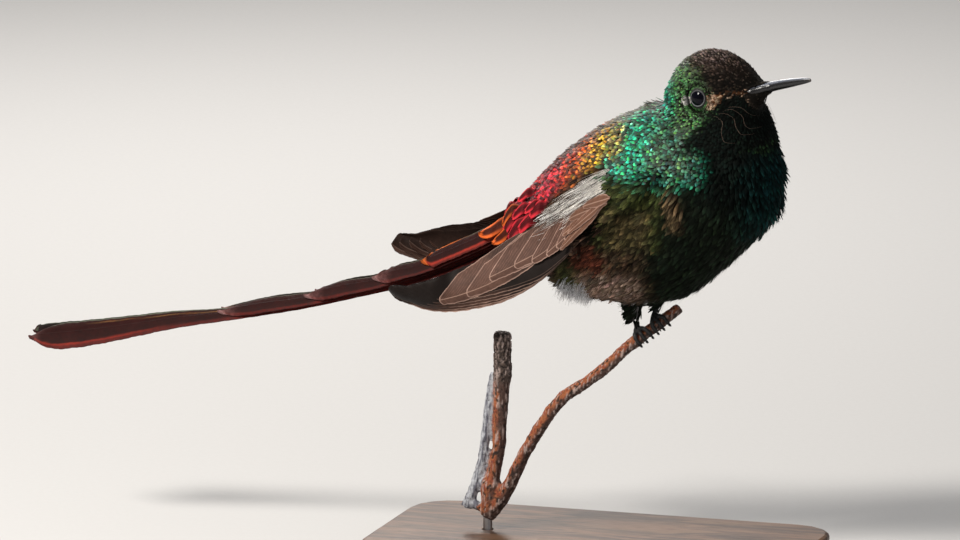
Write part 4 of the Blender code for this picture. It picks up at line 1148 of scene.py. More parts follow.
def wingVane(table, side, kind, number, tipX, tipDepth):
    settings = wingFeathers[kind]
    rows, columns = vaneShape["rows"], vaneShape["columns"]
    # the tips are given for the right wing; the left is folded a little further back
    tipX = tipX + table[0, 0] - perch[0] - wingShape["end"]
    t = 1.0 - (1.0 - np.linspace(0.0, 1.0, rows)[:, None]) ** 1.4
    c = np.sin(np.linspace(-math.pi / 2, math.pi / 2, columns))[None, :]
    length = min(settings["length"], (settings["rootLimit"] - tipX) / vaneShape["stretch"])
    length = length * draw.uniform(0.97, 1.0)
    webs = np.where(c > 0, c * settings["inner"], -c * settings["outer"])
    webs = webs * (settings["tipShare"] + (1.0 - settings["tipShare"]) * np.sin(np.pi * t**0.8))
    webs = webs * (0.3 + 0.7 * smooth(t, 0.0, 0.3))
    slanted = settings["slant"] * np.maximum(webs - 0.5, 0.0)
    recess = np.where(c > 0, slanted + (0.35 + settings["round"]) * c**2, 0.9 * c**2)
    ragged = noiseLine(columns, vaneShape["ragged"], number + 17 * len(kind))
    distance = recess + ragged[None, :] + (length - recess) * (1.0 - t)
    edgeWave = 0.05 * np.sin(distance * 2.1 + number) + 0.04 * np.sin(distance * 5.3 + 2.0 * number)
    x = perch[0] + tipX + distance * vaneShape["stretch"]
    rootShare = np.clip(distance / length, 0.0, 1.0) ** 1.4
    shaft = tipDepth + (settings["rootDepth"] - tipDepth) * rootShare
    # short of the wing's point its edges run too close together to be followed
    inward = np.maximum(x, table[0, 0] + wingShape["tipKeep"])
    span = np.interp(inward, table[:, 0], table[:, 2]) - np.interp(inward, table[:, 0], table[:, 4])
    signed = np.where(c > 0, webs, -webs) + edgeWave * c
    # the blade lies at its own height but bends in only as far as the wing's own edges
    depth = shaft - signed / span
    upturn = settings["upturn"] * np.exp(-distance / vaneShape["upturnReach"])
    height = wingHeight(table, inward, shaft) + signed + upturn
    roof = wingHeight(table, inward, 0.0)
    over = np.maximum(height - roof, 0.0)
    height = np.minimum(height, roof) + wingShape["roof"] * (1.0 - np.exp(-over / wingShape["roof"]))
    # the shafts sink towards the arm, so that each covert lies over the roots behind it
    out = (wingLayers[kind] - vaneShape["step"] * number + vaneShape["arch"] * (1.0 - c**2)
           - vaneShape["rootSink"] * rootShare)
    corners = onWing(table, side, inward, np.clip(depth, -0.1, 1.1), out)
    corners[..., 0] = x
    corners[..., 2] = height
    nearEdge = np.minimum(np.where(c > 0, settings["inner"], settings["outer"]) * (1.0 - np.abs(c)),
                          distance - recess)
    rim = (1.0 - smooth(nearEdge, *wingShade["rim"]))[..., None]
    web = np.array(wingColours["web"]) * draw.uniform(0.8, 1.2)
    barb = np.array(wingColours["barb"])
    dark = np.zeros((rows, columns, 1))
    fromPerch = (x - perch[0])[..., None]
    if "Coverts" in kind:
        web = np.array(wingColours["warm"])
        barb = np.array(wingColours["warmBarb"])
        # the lower coverts darken to black: their own darker colour, with painted shade of the hollow by the
        # flank
        dark = smooth(depth[..., None], *wingShade["lowCovert"])
        rim = rim * wingShade["covertRim"]
    if kind == "primaries":
        # only the narrow outer webs are brown; the rest is painted black as shade under the feather above,
        # and the brown strip and the pale rims fade into painted shade towards the arm
        strap = within(signed, *wingShade["strap"])[..., None]
        if number < len(settings["tips"]) - 1:
            strap = strap * wingShade["strapShare"]
        dark = 1.0 - strap * (1.0 - smooth(fromPerch, *wingShade["strapEnd"]))
        rim = rim * (c[..., None] < 0) * (1.0 - 0.75 * smooth(fromPerch, -26.0, -14.0))
        rim = rim * smooth(distance, 2.0, 6.0)[..., None]
    else:
        # each blade is shaded where the one above it overhangs
        overhung = wingShade["overhang"] * smooth(distance, *wingShade["overhangFrom"])
        dark = np.maximum(dark, overhung[..., None])
    # painted shadow: the tail's cast shadow darkens the wing's tip beyond a slanting line and dims its rims
    slanting = fromPerch - wingShade["tipSlope"] * (corners[..., 2:] - perch[2])
    tip = wingShade["tip"] * (1.0 - smooth(slanting, *wingShade["tipFrom"]))
    if side == "left":
        tip, rim, dark = (value * wingShade["left"][key]
                          for key, value in (("tip", tip), ("rim", rim), ("dark", dark)))
    black = np.array(wingColours["black"])
    cover = np.clip(np.maximum(dark, tip), 0.0, 1.0)
    bright = np.array(wingColours["rim"]) * (1.0 - 0.85 * tip)
    tint = blend(blend(web, black, cover), bright, rim * wingShade["rimShare"])
    glow = blend(blend(barb, black * 2.0, cover), bright, rim * wingShade["rimShare"])
    return {"corners": corners, "outward": np.array((0.0, sideSign(side), 0.0)),
            "thickness": vaneShape["thickness"], "across": (c + 1) / 2, "along": t, "aside": signed,
            "forward": length - distance, "tint": tint, "glow": glow, "under": 0.6}


def makeWings():
    covered = flightMaterial("wingFeathers", flightLooks["wingFeathers"])
    bare = flightMaterial("primaryFeathers", flightLooks["primaryFeathers"])
    stands = {"primaries": ("primaries",), "secondaries": ("secondaries",),
              "greaterCoverts": ("coverts",), "medianCoverts": ()}
    for side in ("right", "left"):
        table = wingTable(side)
        for kind, nodes in stands.items():
            blades = [wingVane(table, side, kind, number, tipX, tipDepth)
                      for number, (tipX, tipDepth) in enumerate(wingFeathers[kind]["tips"])]
            material = bare if kind == "primaries" else covered
            featherGroup(f"wing_{kind}_{side}", blades, material, "wing_brown",
                         *(f"wing_{side}_{part}" for part in nodes))


makeWings()


# Tail: each feather keeps its frame blade's edges, with a finer outline and its own glow

tailSettings = {"roof": 44.0, "rows": 120, "columns": 25, "thickness": 0.14, "rounding": 1.6,
                "steps": 90, "band": 0.12, "arch": 0.30, "shaft": 0.10, "shaftAt": 0.42,
                "shaftWidth": 0.16, "proud": 0.20}
tailColours = {"centre": (0.016, 0.0035, 0.003), "web": (0.042, 0.008, 0.006), "orange": (0.72, 0.12, 0.025),
               "gold": (0.90, 0.34, 0.05), "red": (0.24, 0.018, 0.012), "ember": (0.46, 0.055, 0.028),
               "pink": (0.50, 0.25, 0.24), "palePink": (0.75, 0.50, 0.48), "edge": (0.075, 0.06, 0.04),
               "grey": (0.11, 0.12, 0.085), "maroon": (0.050, 0.010, 0.008)}


def roofWays(side):
    # down one side of the tail's roof, and straight out from it
    roof = math.radians(tailSettings["roof"])
    sign = sideSign(side)
    return (np.array((0.0, sign * math.cos(roof), -math.sin(roof))),
            np.array((0.0, sign * math.sin(roof), math.cos(roof))))


def tailEdges(side, number):
    # x against the inner and the outer edge of one feather, on its upper face
    corners, triangles = nodeShape(f"tail_{side}_r{number}")
    slope, _ = roofWays(side)
    front = corners[:, 0].max() - 0.15
    back = corners[:, 0].min() + 0.05
    rows = []
    for share in 1.0 - (1.0 - np.linspace(0.0, 1.0, tailSettings["steps"])) ** 1.8:
        x = front + (back - front) * share
        cut = sliceAt(corners, triangles, x)
        reach = cut @ slope
        inner = cut[reach < reach.min() + tailSettings["band"]].mean(axis=0)
        outer = cut[reach > reach.max() - tailSettings["band"]].mean(axis=0)
        rows.append((x, *inner[1:], *outer[1:]))
    table = np.array(rows)[::-1]
    # smoothed along the blade, but the converging tip is kept
    keep = 1.0 - smooth(table[:, 0] - table[0, 0], 1.0, 3.0)
    for column in range(1, 5):
        soft = softened(table[:, column], np.ones(9) / 9.0, mode="reflect", reflect_type="odd")
        table[:, column] = blend(soft, table[:, column], keep)
    return table


def tailMarks(number, below, above, fromTip, t):
    # strips of colour on a feather: where, and which colours its base and its glow take
    if number == 1:
        return ((1.0 - smooth(below, 0.5, 1.3), "maroon", "red"),
                (within(below, 0.45, 1.0, 0.18) * 0.95, "red", "ember"),
                (1.0 - smooth(fromTip, 0.5, 1.5), "orange", "gold"),
                ((1.0 - smooth(above, 0.10, 0.30)) * (1.0 - smooth(fromTip, 4.0, 10.0)), "orange", "gold"),
                ((1.0 - smooth(above, 0.10, 0.35)) * smooth(fromTip, 6.0, 12.0), "edge", "edge"))
    if number < 5:
        return ((within(below, 0.1, 0.6, 0.15) * 0.7, "maroon", "red"),
                (1.0 - smooth(fromTip, 0.4, 1.5), "pink", "palePink"),
                ((1.0 - smooth(fromTip, 1.0, 5.0)) * 0.5, "maroon", "pink"),
                ((1.0 - smooth(above, 0.08, 0.28)) * 0.8, "edge", "grey"))
    return ((within(below, 0.0, 0.7, 0.25) * 0.75, "maroon", "red"),
            (within(below, 0.7, 1.15, 0.15) * smooth(t, 0.66, 0.84) * 0.6, "red", "ember"),
            ((1.0 - smooth(fromTip, 0.5, 3.0)) * 0.5, "maroon", "pink"),
            ((1.0 - smooth(above, 0.10, 0.32)) * 0.95, "grey", "grey"),
            (within(above, 0.85, 1.0, 0.10) * within(t, 0.42, 0.86, 0.05) * 0.7, "edge", "gold"))


def tailVane(side, number):
    table = tailEdges(side, number)
    _, outward = roofWays(side)
    t = 1.0 - (1.0 - np.linspace(0.0, 1.0, tailSettings["rows"])) ** 1.6
    front, back = table[-1, 0], table[0, 0]
    x = front + (back - front) * t
    inner, outer = (np.stack([x] + [np.interp(x, table[:, 0], table[:, column]) for column in pair], axis=1)
                    for pair in ((1, 2), (3, 4)))
    t = t[:, None]
    c = 0.5 - 0.5 * np.cos(np.linspace(0.0, math.pi, tailSettings["columns"]))[None, :]
    width = np.linalg.norm(outer - inner, axis=1)[:, None]
    distance = (front - x)[:, None]
    # a rounded end: the outer columns stop short of the tip
    recess = 1.0 - np.sqrt(1.0 - 0.96 * (2 * c - 1) ** 2)
    recess = tailSettings["rounding"] * recess * smooth(t, 0.7, 1.0)
    wavy = 0.010 * np.sin(distance * 1.3 + number) + 0.008 * np.sin(distance * 3.7)
    spot = c + wavy * (c - 0.5) * 2
    corners = inner[:, None, :] + (outer - inner)[:, None, :] * spot[..., None]
    corners[..., 0] += recess
    arch = tailSettings["arch"] * (1.0 - (2 * c - 1) ** 2)
    aside = (c - tailSettings["shaftAt"]) * width
    shaft = tailSettings["shaft"] * np.exp(-(aside / tailSettings["shaftWidth"]) ** 2)
    corners = corners + outward * (tailSettings["proud"] + arch + shaft)[..., None]
    fromTip = (1.0 - t) * (front - back) - 0.3 * recess
    wide = np.maximum(width, 2.0)
    tint = np.ones(corners.shape) * tailColours["centre"]
    glow = np.ones(corners.shape) * tailColours["web"]
    for share, tintName, glowName in tailMarks(number, (1.0 - c) * wide, c * wide, fromTip, t):
        tint = layOver(tint, tailColours[tintName], share)
        glow = layOver(glow, tailColours[glowName], share)
    return {"corners": corners, "outward": outward, "thickness": tailSettings["thickness"],
            "across": c, "along": t, "aside": aside, "forward": distance - recess,
            "tint": tint, "glow": glow, "under": 0.5}


def makeTail():
    material = flightMaterial("tailFeathers", flightLooks["tailFeathers"])
    for side in ("right", "left"):
        for number in range(1, 6):
            featherGroup(f"tail_feather_{side}_{number}", [tailVane(side, number)], material, "tail_maroon",
                         f"tail_{side}_r{number}")


makeTail()


# Feathers over and under the tail's root

# lobes: the tip's x from the perch and its reach down the roof; length, width and height over the feathers
# below; and which colours its rim has. run is the way they lie, and ridge gives the roof's height along x.
tailCovertSettings = {
    "lobes": ((-36.4, 4.4, 8.0, 3.6, 0.30, "orange"), (-33.0, 7.4, 7.0, 3.4, -0.10, "orange"),
              (-29.4, 8.9, 6.4, 3.2, -0.05, "crimson"), (-26.0, 9.8, 5.4, 2.6, 0.0, "crimson"),
              (-31.4, 4.4, 5.6, 2.9, 0.02, "orange"), (-28.0, 6.4, 5.2, 2.6, 0.10, "crimson"),
              (-24.6, 7.6, 4.6, 2.2, 0.15, "crimson"), (-27.2, 3.2, 4.6, 2.6, 0.02, "crimson"),
              (-31.2, 6.2, 6.2, 3.4, -0.22, "crimson"), (-23.4, 8.6, 4.8, 3.0, -0.10, "crimson"),
              (-32.6, 1.8, 4.8, 2.6, -0.30, "crimson")),
    "rows": 34, "columns": 15, "thickness": 0.10, "run": (-0.88, 0.0, -0.47),
    "ridge": ((-37.0, -24.0), (21.0, 27.0)), "above": 12.0, "arch": 0.30, "tipRise": 0.10, "rootSink": 1.5,
}


def tailLobe(side, surface, number, tipX, reach, length, width, layer, glowName):
    # one broad covert, dropped onto the rump and the tail below it
    settings = tailCovertSettings
    rows, columns = settings["rows"], settings["columns"]
    slope, outward = roofWays(side)
    t = np.linspace(0.0, 1.0, rows)[:, None]
    c = np.linspace(-1.0, 1.0, columns)[None, :]
    outline = np.sqrt(np.clip(1.0 - (np.clip(t - 0.35, 0.0, 1.0) / 0.65) ** 2.4, 0.0, 1.0))
    outline = outline * (0.55 + 0.45 * smooth(t, 0.0, 0.4))
    aside = c * outline * width / 2 + noiseLine(columns, 0.03, number)[None, :] * t
    ragged = 0.03 * np.abs(noiseLine(columns, 1.0, number))[None, :] * smooth(t, 0.6, 1.0)
    forward = t * length * (1.0 - ragged)
    tip = perch + np.array((tipX, 0.0, np.interp(tipX, *settings["ridge"]))) + slope * reach
    places = tip + unit(np.array(settings["run"])) * (forward - length)[..., None] + slope * aside[..., None]
    height = np.zeros((rows, columns))
    for i in range(rows):
        for j in range(columns):
            start = Vector(places[i, j] + outward * settings["above"])
            distance = surface.ray_cast(start, Vector(-outward), settings["above"] * 2)[3]
            if distance is not None:
                height[i, j] = settings["above"] - distance
    # one smooth sheet through the heights found, so that the blade bridges the steps below it
    row, column = np.meshgrid(np.linspace(-1, 1, rows), np.linspace(-1, 1, columns), indexing="ij")
    basis = np.stack((np.ones_like(row), row, column, row**2, row * column, 0.5 * column**2), axis=-1)
    basis = basis.reshape(-1, 6)
    weights, *_ = np.linalg.lstsq(basis, height.ravel(), rcond=None)
    height = (basis @ weights).reshape(rows, columns)
    # the roots are sunk into the plumage of the rump
    lift = layer + settings["arch"] * (1.0 - c**2) + settings["tipRise"] * t
    lift = lift - settings["rootSink"] * (1.0 - smooth(t, 0.05, 0.5))
    corners = places + outward * (height + lift)[..., None]
    edge = np.maximum(np.abs(c), smooth(t, 0.72, 1.0) * 0.9 + 0.1 * np.abs(c))
    rim = (smooth(edge, 0.40, 0.85) * (0.35 + 0.65 * smooth(t, 0.3, 0.7)))[..., None]
    dark, bright = np.array(plumageColours[glowName])
    glow = dark * 2.0 + (bright * 1.3 - dark) * rim
    return {"corners": corners, "outward": outward, "thickness": settings["thickness"],
            "across": (c + 1) / 2, "along": t, "aside": aside, "forward": forward,
            "tint": blend(dark, bright * 0.75, rim), "glow": np.clip(glow, 0.0, 1.0), "under": 0.5}


def uniformMarks(count, tint, glow, **values):
    marks = {"tint": np.tile(tint, (count, 1)), "glow": np.tile(glow, (count, 1))}
    for key, value in values.items():
        marks[key] = np.full(count, float(value))
    return marks


def makeTailCoverts():
    surface = bvhOf("trunk_rump", "uppertail_coverts", "tail_right_r1", "tail_left_r1", "tail_right_r2",
                    "tail_left_r2")
    material = flightMaterial("tailCoverts", dict(flightLooks["tailFeathers"], metal=0.2))
    blades = [tailLobe(side, surface, number, *lobe) for side in ("right", "left")
              for number, lobe in enumerate(tailCovertSettings["lobes"])]
    featherGroup("uppertail_lobes", blades, material, "rump_crimson", "uppertail_coverts")

    corners, triangles = nodeShape("undertail_coverts")
    roots, normals = evenSpots(corners, triangles, 1.3, 3000)
    inward = corners.mean(axis=0) - roots
    normals = np.where(np.sum(normals * inward, axis=1, keepdims=True) > 0, -normals, normals)
    lies = flatten(unit(np.tile((-0.9, 0.0, -0.35), (len(roots), 1))), normals)
    marks = uniformMarks(len(roots), (0.020, 0.014, 0.010), (0.16, 0.115, 0.08),
                         length=4.4, width=2.0, lift=8.0)
    coatPiece("undertail_feathers", "vane", roots - normals * 0.6, normals, lies, marks, downMaterial,
              "belly_olive", "undertail_coverts")


makeTailCoverts()


# Loose plumes: the white streaks over the wing and the white down at the vent and the legs

# way: back, out to the side and down; share: how many of the spots grow a plume; dark: how many are brown
plumeSettings = {
    "streaks": {"tint": (0.72, 0.68, 0.62), "glow": (0.98, 0.96, 0.93), "way": (-0.84, 0.10, -0.52),
                "share": 1.0, "dark": 0.30, "sizes": {"length": 7.2, "width": 1.5, "lift": 14.0}},
    "vent": {"tint": (0.60, 0.60, 0.62), "glow": (0.95, 0.95, 0.98), "way": (-0.35, 0.10, -0.93),
             "share": 0.8, "dark": 0.12, "sizes": {"length": 4.8, "width": 2.0, "lift": 26.0}},
    "legs": {"tint": (0.16, 0.15, 0.15), "glow": (0.50, 0.49, 0.49), "way": (-0.3, 0.2, -0.93),
             "share": 0.35, "dark": 0.12, "sizes": {"length": 2.0, "width": 1.2, "lift": 16.0}},
}


def makePlumes():
    roots, normals = evenSpots(skinPoints, splitQuads(skinFaces), 0.62, 60000)
    x, y, z = (roots - perch).T
    side = np.abs(y)
    angle = np.abs(trunkPlace(roots)[1])
    masks = {
        "streaks": (x > -16.5) & (x < -4.5) & (angle > 48.0) & (angle < 68.0) & (z > 21.0),
        "vent": (x > -17.0) & (x < -10.5) & (z > 4.0) & (z < 12.5) & (side > 3.0),
        "legs": (np.abs(x - 4.5) < 9.0) & (z < 8.5) & (z > 3.5) & (side > 0.5) & (side < 7.0),
    }
    for name, settings in plumeSettings.items():
        mask = masks[name] & (draw.random(len(roots)) < settings["share"])
        back, out, down = settings["way"]
        ways = np.stack([np.full(mask.sum(), back), np.where(y[mask] < 0, -out, out),
                         np.full(mask.sum(), down)], axis=1)
        marks = uniformMarks(len(ways), settings["tint"], settings["glow"], **settings["sizes"])
        dark = draw.random(len(ways)) < settings["dark"]
        marks["tint"][dark] = (0.035, 0.02, 0.012)
        marks["glow"][dark] = (0.16, 0.10, 0.07)
        coatPiece("plumes_" + name, "strand", roots[mask], normals[mask], flatten(ways, normals[mask]),
                  marks, downMaterial, "belly_olive")


makePlumes()


# Eyes: a dark ball behind a thin pale ring of lid

# opening, almond and lidOuter are angles from the middle of the eye's front
eyeSettings = {"radius": 2.5, "opening": 38.5, "lidOuter": 66.0, "almond": 2.0, "lidRise": 0.16,
               "rings": 22, "around": 96, "ballRings": 40, "lidDark": (0.008, 0.008, 0.009),
               "lidPale": (0.252, 0.262, 0.272), "lidGreen": (0.016, 0.020, 0.010)}


def eyeMaterial():
    material, tree, shader = newMaterial("eyeball")
    share = softStep(tree, speckle(tree, 2.0), 0.4, 0.7)
    colour = mixColour(tree, share, (0.0015, 0.0015, 0.003, 1.0), (0.003, 0.003, 0.008, 1.0))
    tree.links.new(colour, shader.inputs["Base Color"])
    shader.inputs["Specular IOR Level"].default_value = 0.12
    shader.inputs["Roughness"].default_value = 0.05
    return material


def lidMaterial():
    material, tree, shader = newMaterial("eyelid")
    grain = speckle(tree, 4.0)
    colour = shadeBy(tree, stored(tree, "tint"), calc(tree, "MULTIPLY_ADD", grain, 0.8, 0.6))
    tree.links.new(colour, shader.inputs["Base Color"])
    shader.inputs["Roughness"].default_value = 0.5
    addBump(tree, shader, grain, 0.06)
    return material


def eyeWays(side):
    # out of the eye, forward and up
    pole = unit(toRight * -sideSign(side) + ahead * 0.06)
    forward = unit(ahead - pole * (ahead @ pole))
    return pole, forward, np.cross(pole, forward)


def ringMesh(name, grid, colours):
    # a grid whose columns close on themselves, with its first ring filled
    rows, columns = grid.shape[:2]
    base = np.arange(rows * columns).reshape(rows, columns)
    after = np.roll(base, -1, axis=1)
    faces = np.stack((base[:-1], after[:-1], after[1:], base[1:]), axis=-1).reshape(-1, 4)
    item = makeMesh(name, grid.reshape(-1, 3), faces, None, colours)
    tidyMesh(item, columns)
    return item


def makeEyes():
    ball = eyeMaterial()
    lid = lidMaterial()
    settings = eyeSettings
    around = np.linspace(0.0, 2 * math.pi, settings["around"], endpoint=False)[None, :]
    for side in ("right", "left"):
        pole, forward, up = eyeWays(side)

        def ringPoints(angles, reach):
            return (eyeMiddle[side] + pole * (np.cos(angles) * reach)[..., None]
                    + forward * (np.sin(angles) * np.cos(around) * reach)[..., None]
                    + up * (np.sin(angles) * np.sin(around) * reach)[..., None])

        angles = np.radians(np.linspace(0.5, 150.0, settings["ballRings"]))[:, None] * np.ones_like(around)
        item = ringMesh("eyeball_" + side, ringPoints(angles, settings["radius"]), {})
        finishPiece(item, ball, "eye_black", "eye_" + side)

        share = np.linspace(0.0, 1.0, settings["rings"])[:, None] * np.ones_like(around)
        opening = settings["opening"] + settings["almond"] * np.cos(2 * around)
        angles = np.radians(blend(opening, settings["lidOuter"], share))
        rise = settings["lidRise"] * np.sin(np.pi * np.clip(share * 2.2, 0.0, 1.0)) + 0.03
        rise = rise + 0.015 * np.sin(around * 26.0) * smooth(share, 0.15, 0.4)
        pale = within(share, 0.02, 0.085, 0.02) * (0.62 + 0.38 * np.sin(around - 2.3))
        tint = np.array(settings["lidDark"]) + np.array(settings["lidPale"]) * pale[..., None]
        tint = layOver(tint, settings["lidGreen"], smooth(share, 0.20, 0.30))
        item = ringMesh("eyelid_" + side, ringPoints(angles, settings["radius"] + rise),
                        {"tint": tint.reshape(-1, 3)})
        finishPiece(item, lid, "crown_green")


# rings of the smallest feathers round each lid; from and step are angles, rise is per ring
lidFeathers = {"rings": 11, "from": 46.0, "step": 4.0, "first": 26, "more": 3, "base": 0.10, "rise": 0.06,
               "above": 6.0, "mix": 0.25, "length": 0.95, "width": 0.36, "lift": 12.0}


def makeLidFeathers():
    roots = []
    normals = []
    lies = []
    for side in ("right", "left"):
        pole, forward, up = eyeWays(side)
        for ring in range(lidFeathers["rings"]):
            polar = math.radians(lidFeathers["from"] + lidFeathers["step"] * ring)
            count = lidFeathers["first"] + lidFeathers["more"] * ring
            for k in range(count):
                around = 2 * math.pi * (k + 0.5 * (ring % 2) + draw.uniform(-0.3, 0.3)) / count
                radial = forward * math.cos(around) + up * math.sin(around)
                normal = pole * math.cos(polar) + radial * math.sin(polar)
                distance = eyeSettings["radius"] + lidFeathers["base"] + lidFeathers["rise"] * ring
                root = eyeMiddle[side] + normal * distance
                normal = unit(normal + pole * 0.4)
                # where the skin stands further out than the lid, the feather grows on the skin
                spot, way, *_ = skinTree.ray_cast(Vector(root + pole * lidFeathers["above"]), Vector(-pole),
                                                  lidFeathers["above"])
                if spot is not None:
                    root = np.array(spot)
                    normal = np.array(way) * np.sign(np.array(way) @ pole)
                roots.append(root)
                normals.append(normal)
                lies.append(radial * 0.8 - forward * 0.7)
    roots, normals, lies = (np.array(values) for values in (roots, normals, lies))
    marks = markingsAt(roots + draw.normal(0.0, lidFeathers["mix"], roots.shape))
    for key in ("length", "width", "lift"):
        marks[key] = np.full(len(roots), lidFeathers[key])
    coatPiece("coat_lids", "vane", roots, normals, flatten(lies, normals), marks, scaleMaterial,
              "crown_green")


makeEyes()
makeLidFeathers()


# Bill: both halves follow the frame's, rounder, and closed along the gape

# gapeAhead and gapeWide: the bill's half width from the head's middle forward, where it opens into the gape
billSettings = {"stations": 70, "arc": 26, "keel": 0.06, "grooveDeep": 0.10, "plump": 0.22,
                "lowerWidth": 0.94, "gapeEnd": 15.0, "gapeAhead": (8.5, 10.2, 10.8, 11.2, 12.4, 13.4, 15.0),
                "gapeWide": (1.3, 2.2, 2.95, 2.85, 2.10, 1.60, 1.30)}


def billMaterial():
    material, tree, shader = newMaterial("billHorn")
    across, along, _ = mapParts(tree, "vane")
    grain = speckle(tree, 0.7)
    fine = speckle(tree, 5.0)
    # painted highlight: the upper half turns blue-grey towards its ridge
    top = calc(tree, "MULTIPLY", softStep(tree, across, 0.30, 0.85), 0.9)
    colour = mixColour(tree, top, (0.004, 0.004, 0.005, 1.0), (0.17, 0.185, 0.235, 1.0))
    tip = calc(tree, "MULTIPLY", softStep(tree, along, 0.86, 1.0), 0.5)
    colour = mixColour(tree, tip, colour, (0.16, 0.14, 0.12, 1.0))
    colour = mixColour(tree, calc(tree, "MULTIPLY", grain, 0.35), colour, (0.02, 0.016, 0.016, 1.0))
    wire(tree, shader, colour, calc(tree, "MULTIPLY_ADD", fine, 0.15, 0.20), 0.5)
    addBump(tree, shader, fine, 0.02)
    return material


def billTable(shapes, part, root, tip):
    # how far ahead, against the middle, half the width, where the halves meet, and the far edge
    way = 1.0 if part == "upper" else -1.0
    other = shapes["lower" if part == "upper" else "upper"]
    rows = []
    for share in 1.0 - (1.0 - np.linspace(0.0, 1.0, billSettings["stations"])) ** 1.4:
        spot = root + (tip - 0.12 - root) * share
        cut = sliceAt(*shapes[part], spot, ahead) - headMiddle
        facing = sliceAt(*other, spot, ahead) - headMiddle
        if len(cut) < 4 or len(facing) < 4:
            continue
        aside = cut @ toRight
        height = cut @ headUp * way
        meet = way * (height.min() + (facing @ headUp * way).max()) / 2
        rows.append((spot, (aside.max() + aside.min()) / 2, (aside.max() - aside.min()) / 2, meet,
                     way * height.max()))
    table = np.array(rows)
    for column in range(1, 5):
        table[:, column] = softened(table[:, column], np.ones(7) / 7, mode="edge")
    # the bill widens at its root into the corners of the gape
    reach = table[:, 0] - headMiddle @ ahead
    gape = np.interp(reach, billSettings["gapeAhead"], billSettings["gapeWide"])
    table[:, 2] = np.where(reach < billSettings["gapeEnd"], np.maximum(table[:, 2], gape), table[:, 2])
    return table


def makeBill():
    material = billMaterial()
    shapes = {part: nodeShape("bill_" + part) for part in ("upper", "lower")}
    reach = np.concatenate([shape[0] for shape in shapes.values()]) @ ahead
    arc = np.linspace(-math.pi / 2, math.pi / 2, billSettings["arc"])
    for part, sign in (("upper", 1.0), ("lower", -1.0)):
        table = billTable(shapes, part, reach.min() + 0.25, reach.max())
        share = np.linspace(0.0, 1.0, len(table))
        closing = np.sqrt(np.clip(1.0 - np.clip((share - 0.93) / 0.07, 0.0, 1.0) ** 2, 0.02, 1.0))
        corners = []
        vane = []
        for (spot, middle, halfWidth, meet, far), shrink, here in zip(table, closing, share):
            thicker = smooth(here, 0.25, 0.6)
            shrink = shrink * (1.0 + billSettings["plump"] * thicker)
            rise = (far - meet) * shrink
            keel = billSettings["keel"] * np.exp(-(arc / 0.25) ** 2) * (1.0 - here)
            groove = billSettings["grooveDeep"] * np.exp(-((np.abs(arc) - 0.75) / 0.16) ** 2)
            groove = groove * (1.0 - thicker)
            wide = (halfWidth * shrink - groove) * np.sin(arc)
            tall = (rise - groove * np.sign(rise)) * np.cos(arc) ** 0.9 + keel * sign
            if part == "lower":
                wide = wide * billSettings["lowerWidth"]
            corners.append(headMiddle + ahead * (spot - headMiddle @ ahead)
                           + toRight * (middle + wide)[:, None] + headUp * (meet + tall)[:, None])
            # the map's first channel rises to the upper half's ridge, where the material paints its
            # highlight
            top = np.cos(arc) if part == "upper" else np.zeros_like(arc)
            vane.append(np.stack((top, np.full(len(arc), here)), axis=1))
        item = makeMesh("bill_half_" + part, np.concatenate(corners), gridFaces(1, len(table), len(arc)),
                        {"vane": np.concatenate(vane)})
        tidyMesh(item, len(item.data.edges), split=True)
        item.data.set_sharp_from_angle(angle=math.radians(50))
        finishPiece(item, material, "bill_black", "bill_" + part)


makeBill()
print("eyes and bill are made")


# Small feathers that grow out over the bill's root, longest on the culmen and the sides

muzzleSettings = {"rings": 13, "around": 42, "start": 10.4, "gape": 10.7, "reach": 4.6, "middle": -1.38,
                  "levels": (11.2, 12.4, 13.4, 15.6), "aside": (2.9, 1.95, 1.5, 1.12),
                  "tall": (3.4, 2.15, 1.42, 1.02)}


def makeMuzzle():
    settings = muzzleSettings
    roots = []
    normals = []
    for ring in range(settings["rings"]):
        share = ring / (settings["rings"] - 1)
        for k in range(settings["around"]):
            angle = 2 * math.pi * (k + 0.5 * (ring % 2) + draw.uniform(-0.25, 0.25)) / settings["around"]
            out, up = math.sin(angle), math.cos(angle)
            # the feathering reaches forward over the top and the chin and falls back at the gape
            shape = 1.5 if up > 0 else 0.8
            limit = settings["gape"] + settings["reach"] * abs(up) ** shape
            forward = settings["start"] + (limit - settings["start"]) * share
            aside = np.interp(forward, settings["levels"], settings["aside"])
            tall = np.interp(forward, settings["levels"], settings["tall"])
            roots.append(headMiddle + ahead * forward + toRight * out * aside
                         + headUp * (settings["middle"] + up * tall))
            normals.append(unit(toRight * out / aside + headUp * up / tall + ahead * 0.15))
    roots, normals = np.array(roots), np.array(normals)
    lies = flatten(np.tile(-ahead, (len(roots), 1)), normals)
    # the muzzle feathers take the face's near-black pair, a painted shade
    marks = uniformMarks(len(roots), *plumageColours["faceShade"], length=1.05, width=0.42, lift=12.0)
    pale = draw.random(len(roots)) < 0.06
    marks["glow"][pale] = (0.30, 0.20, 0.14)
    coatPiece("coat_muzzle", "vane", roots, normals, lies, marks, downMaterial, "crown_green")


makeMuzzle()


# Fine pale hairs that lie in arcs over the side of the throat

# arcs: four spots of each, ahead of and up from the head's middle
hairSettings = {"spots": 26, "width": 0.042, "lift": 0.6,
                "tint": (0.12, 0.08, 0.06), "glow": (0.26, 0.18, 0.14),
                "arcs": (((5.6, -3.4), (7.8, -4.6), (7.4, -7.2), (8.6, -8.8)),
                         ((4.6, -3.8), (6.4, -5.2), (6.4, -8.0), (8.0, -9.8)),
                         ((3.4, -4.0), (4.6, -6.2), (4.2, -8.8), (5.6, -10.6)),
                         ((6.8, -3.0), (8.8, -4.2), (8.9, -6.2), (9.8, -7.4)))}


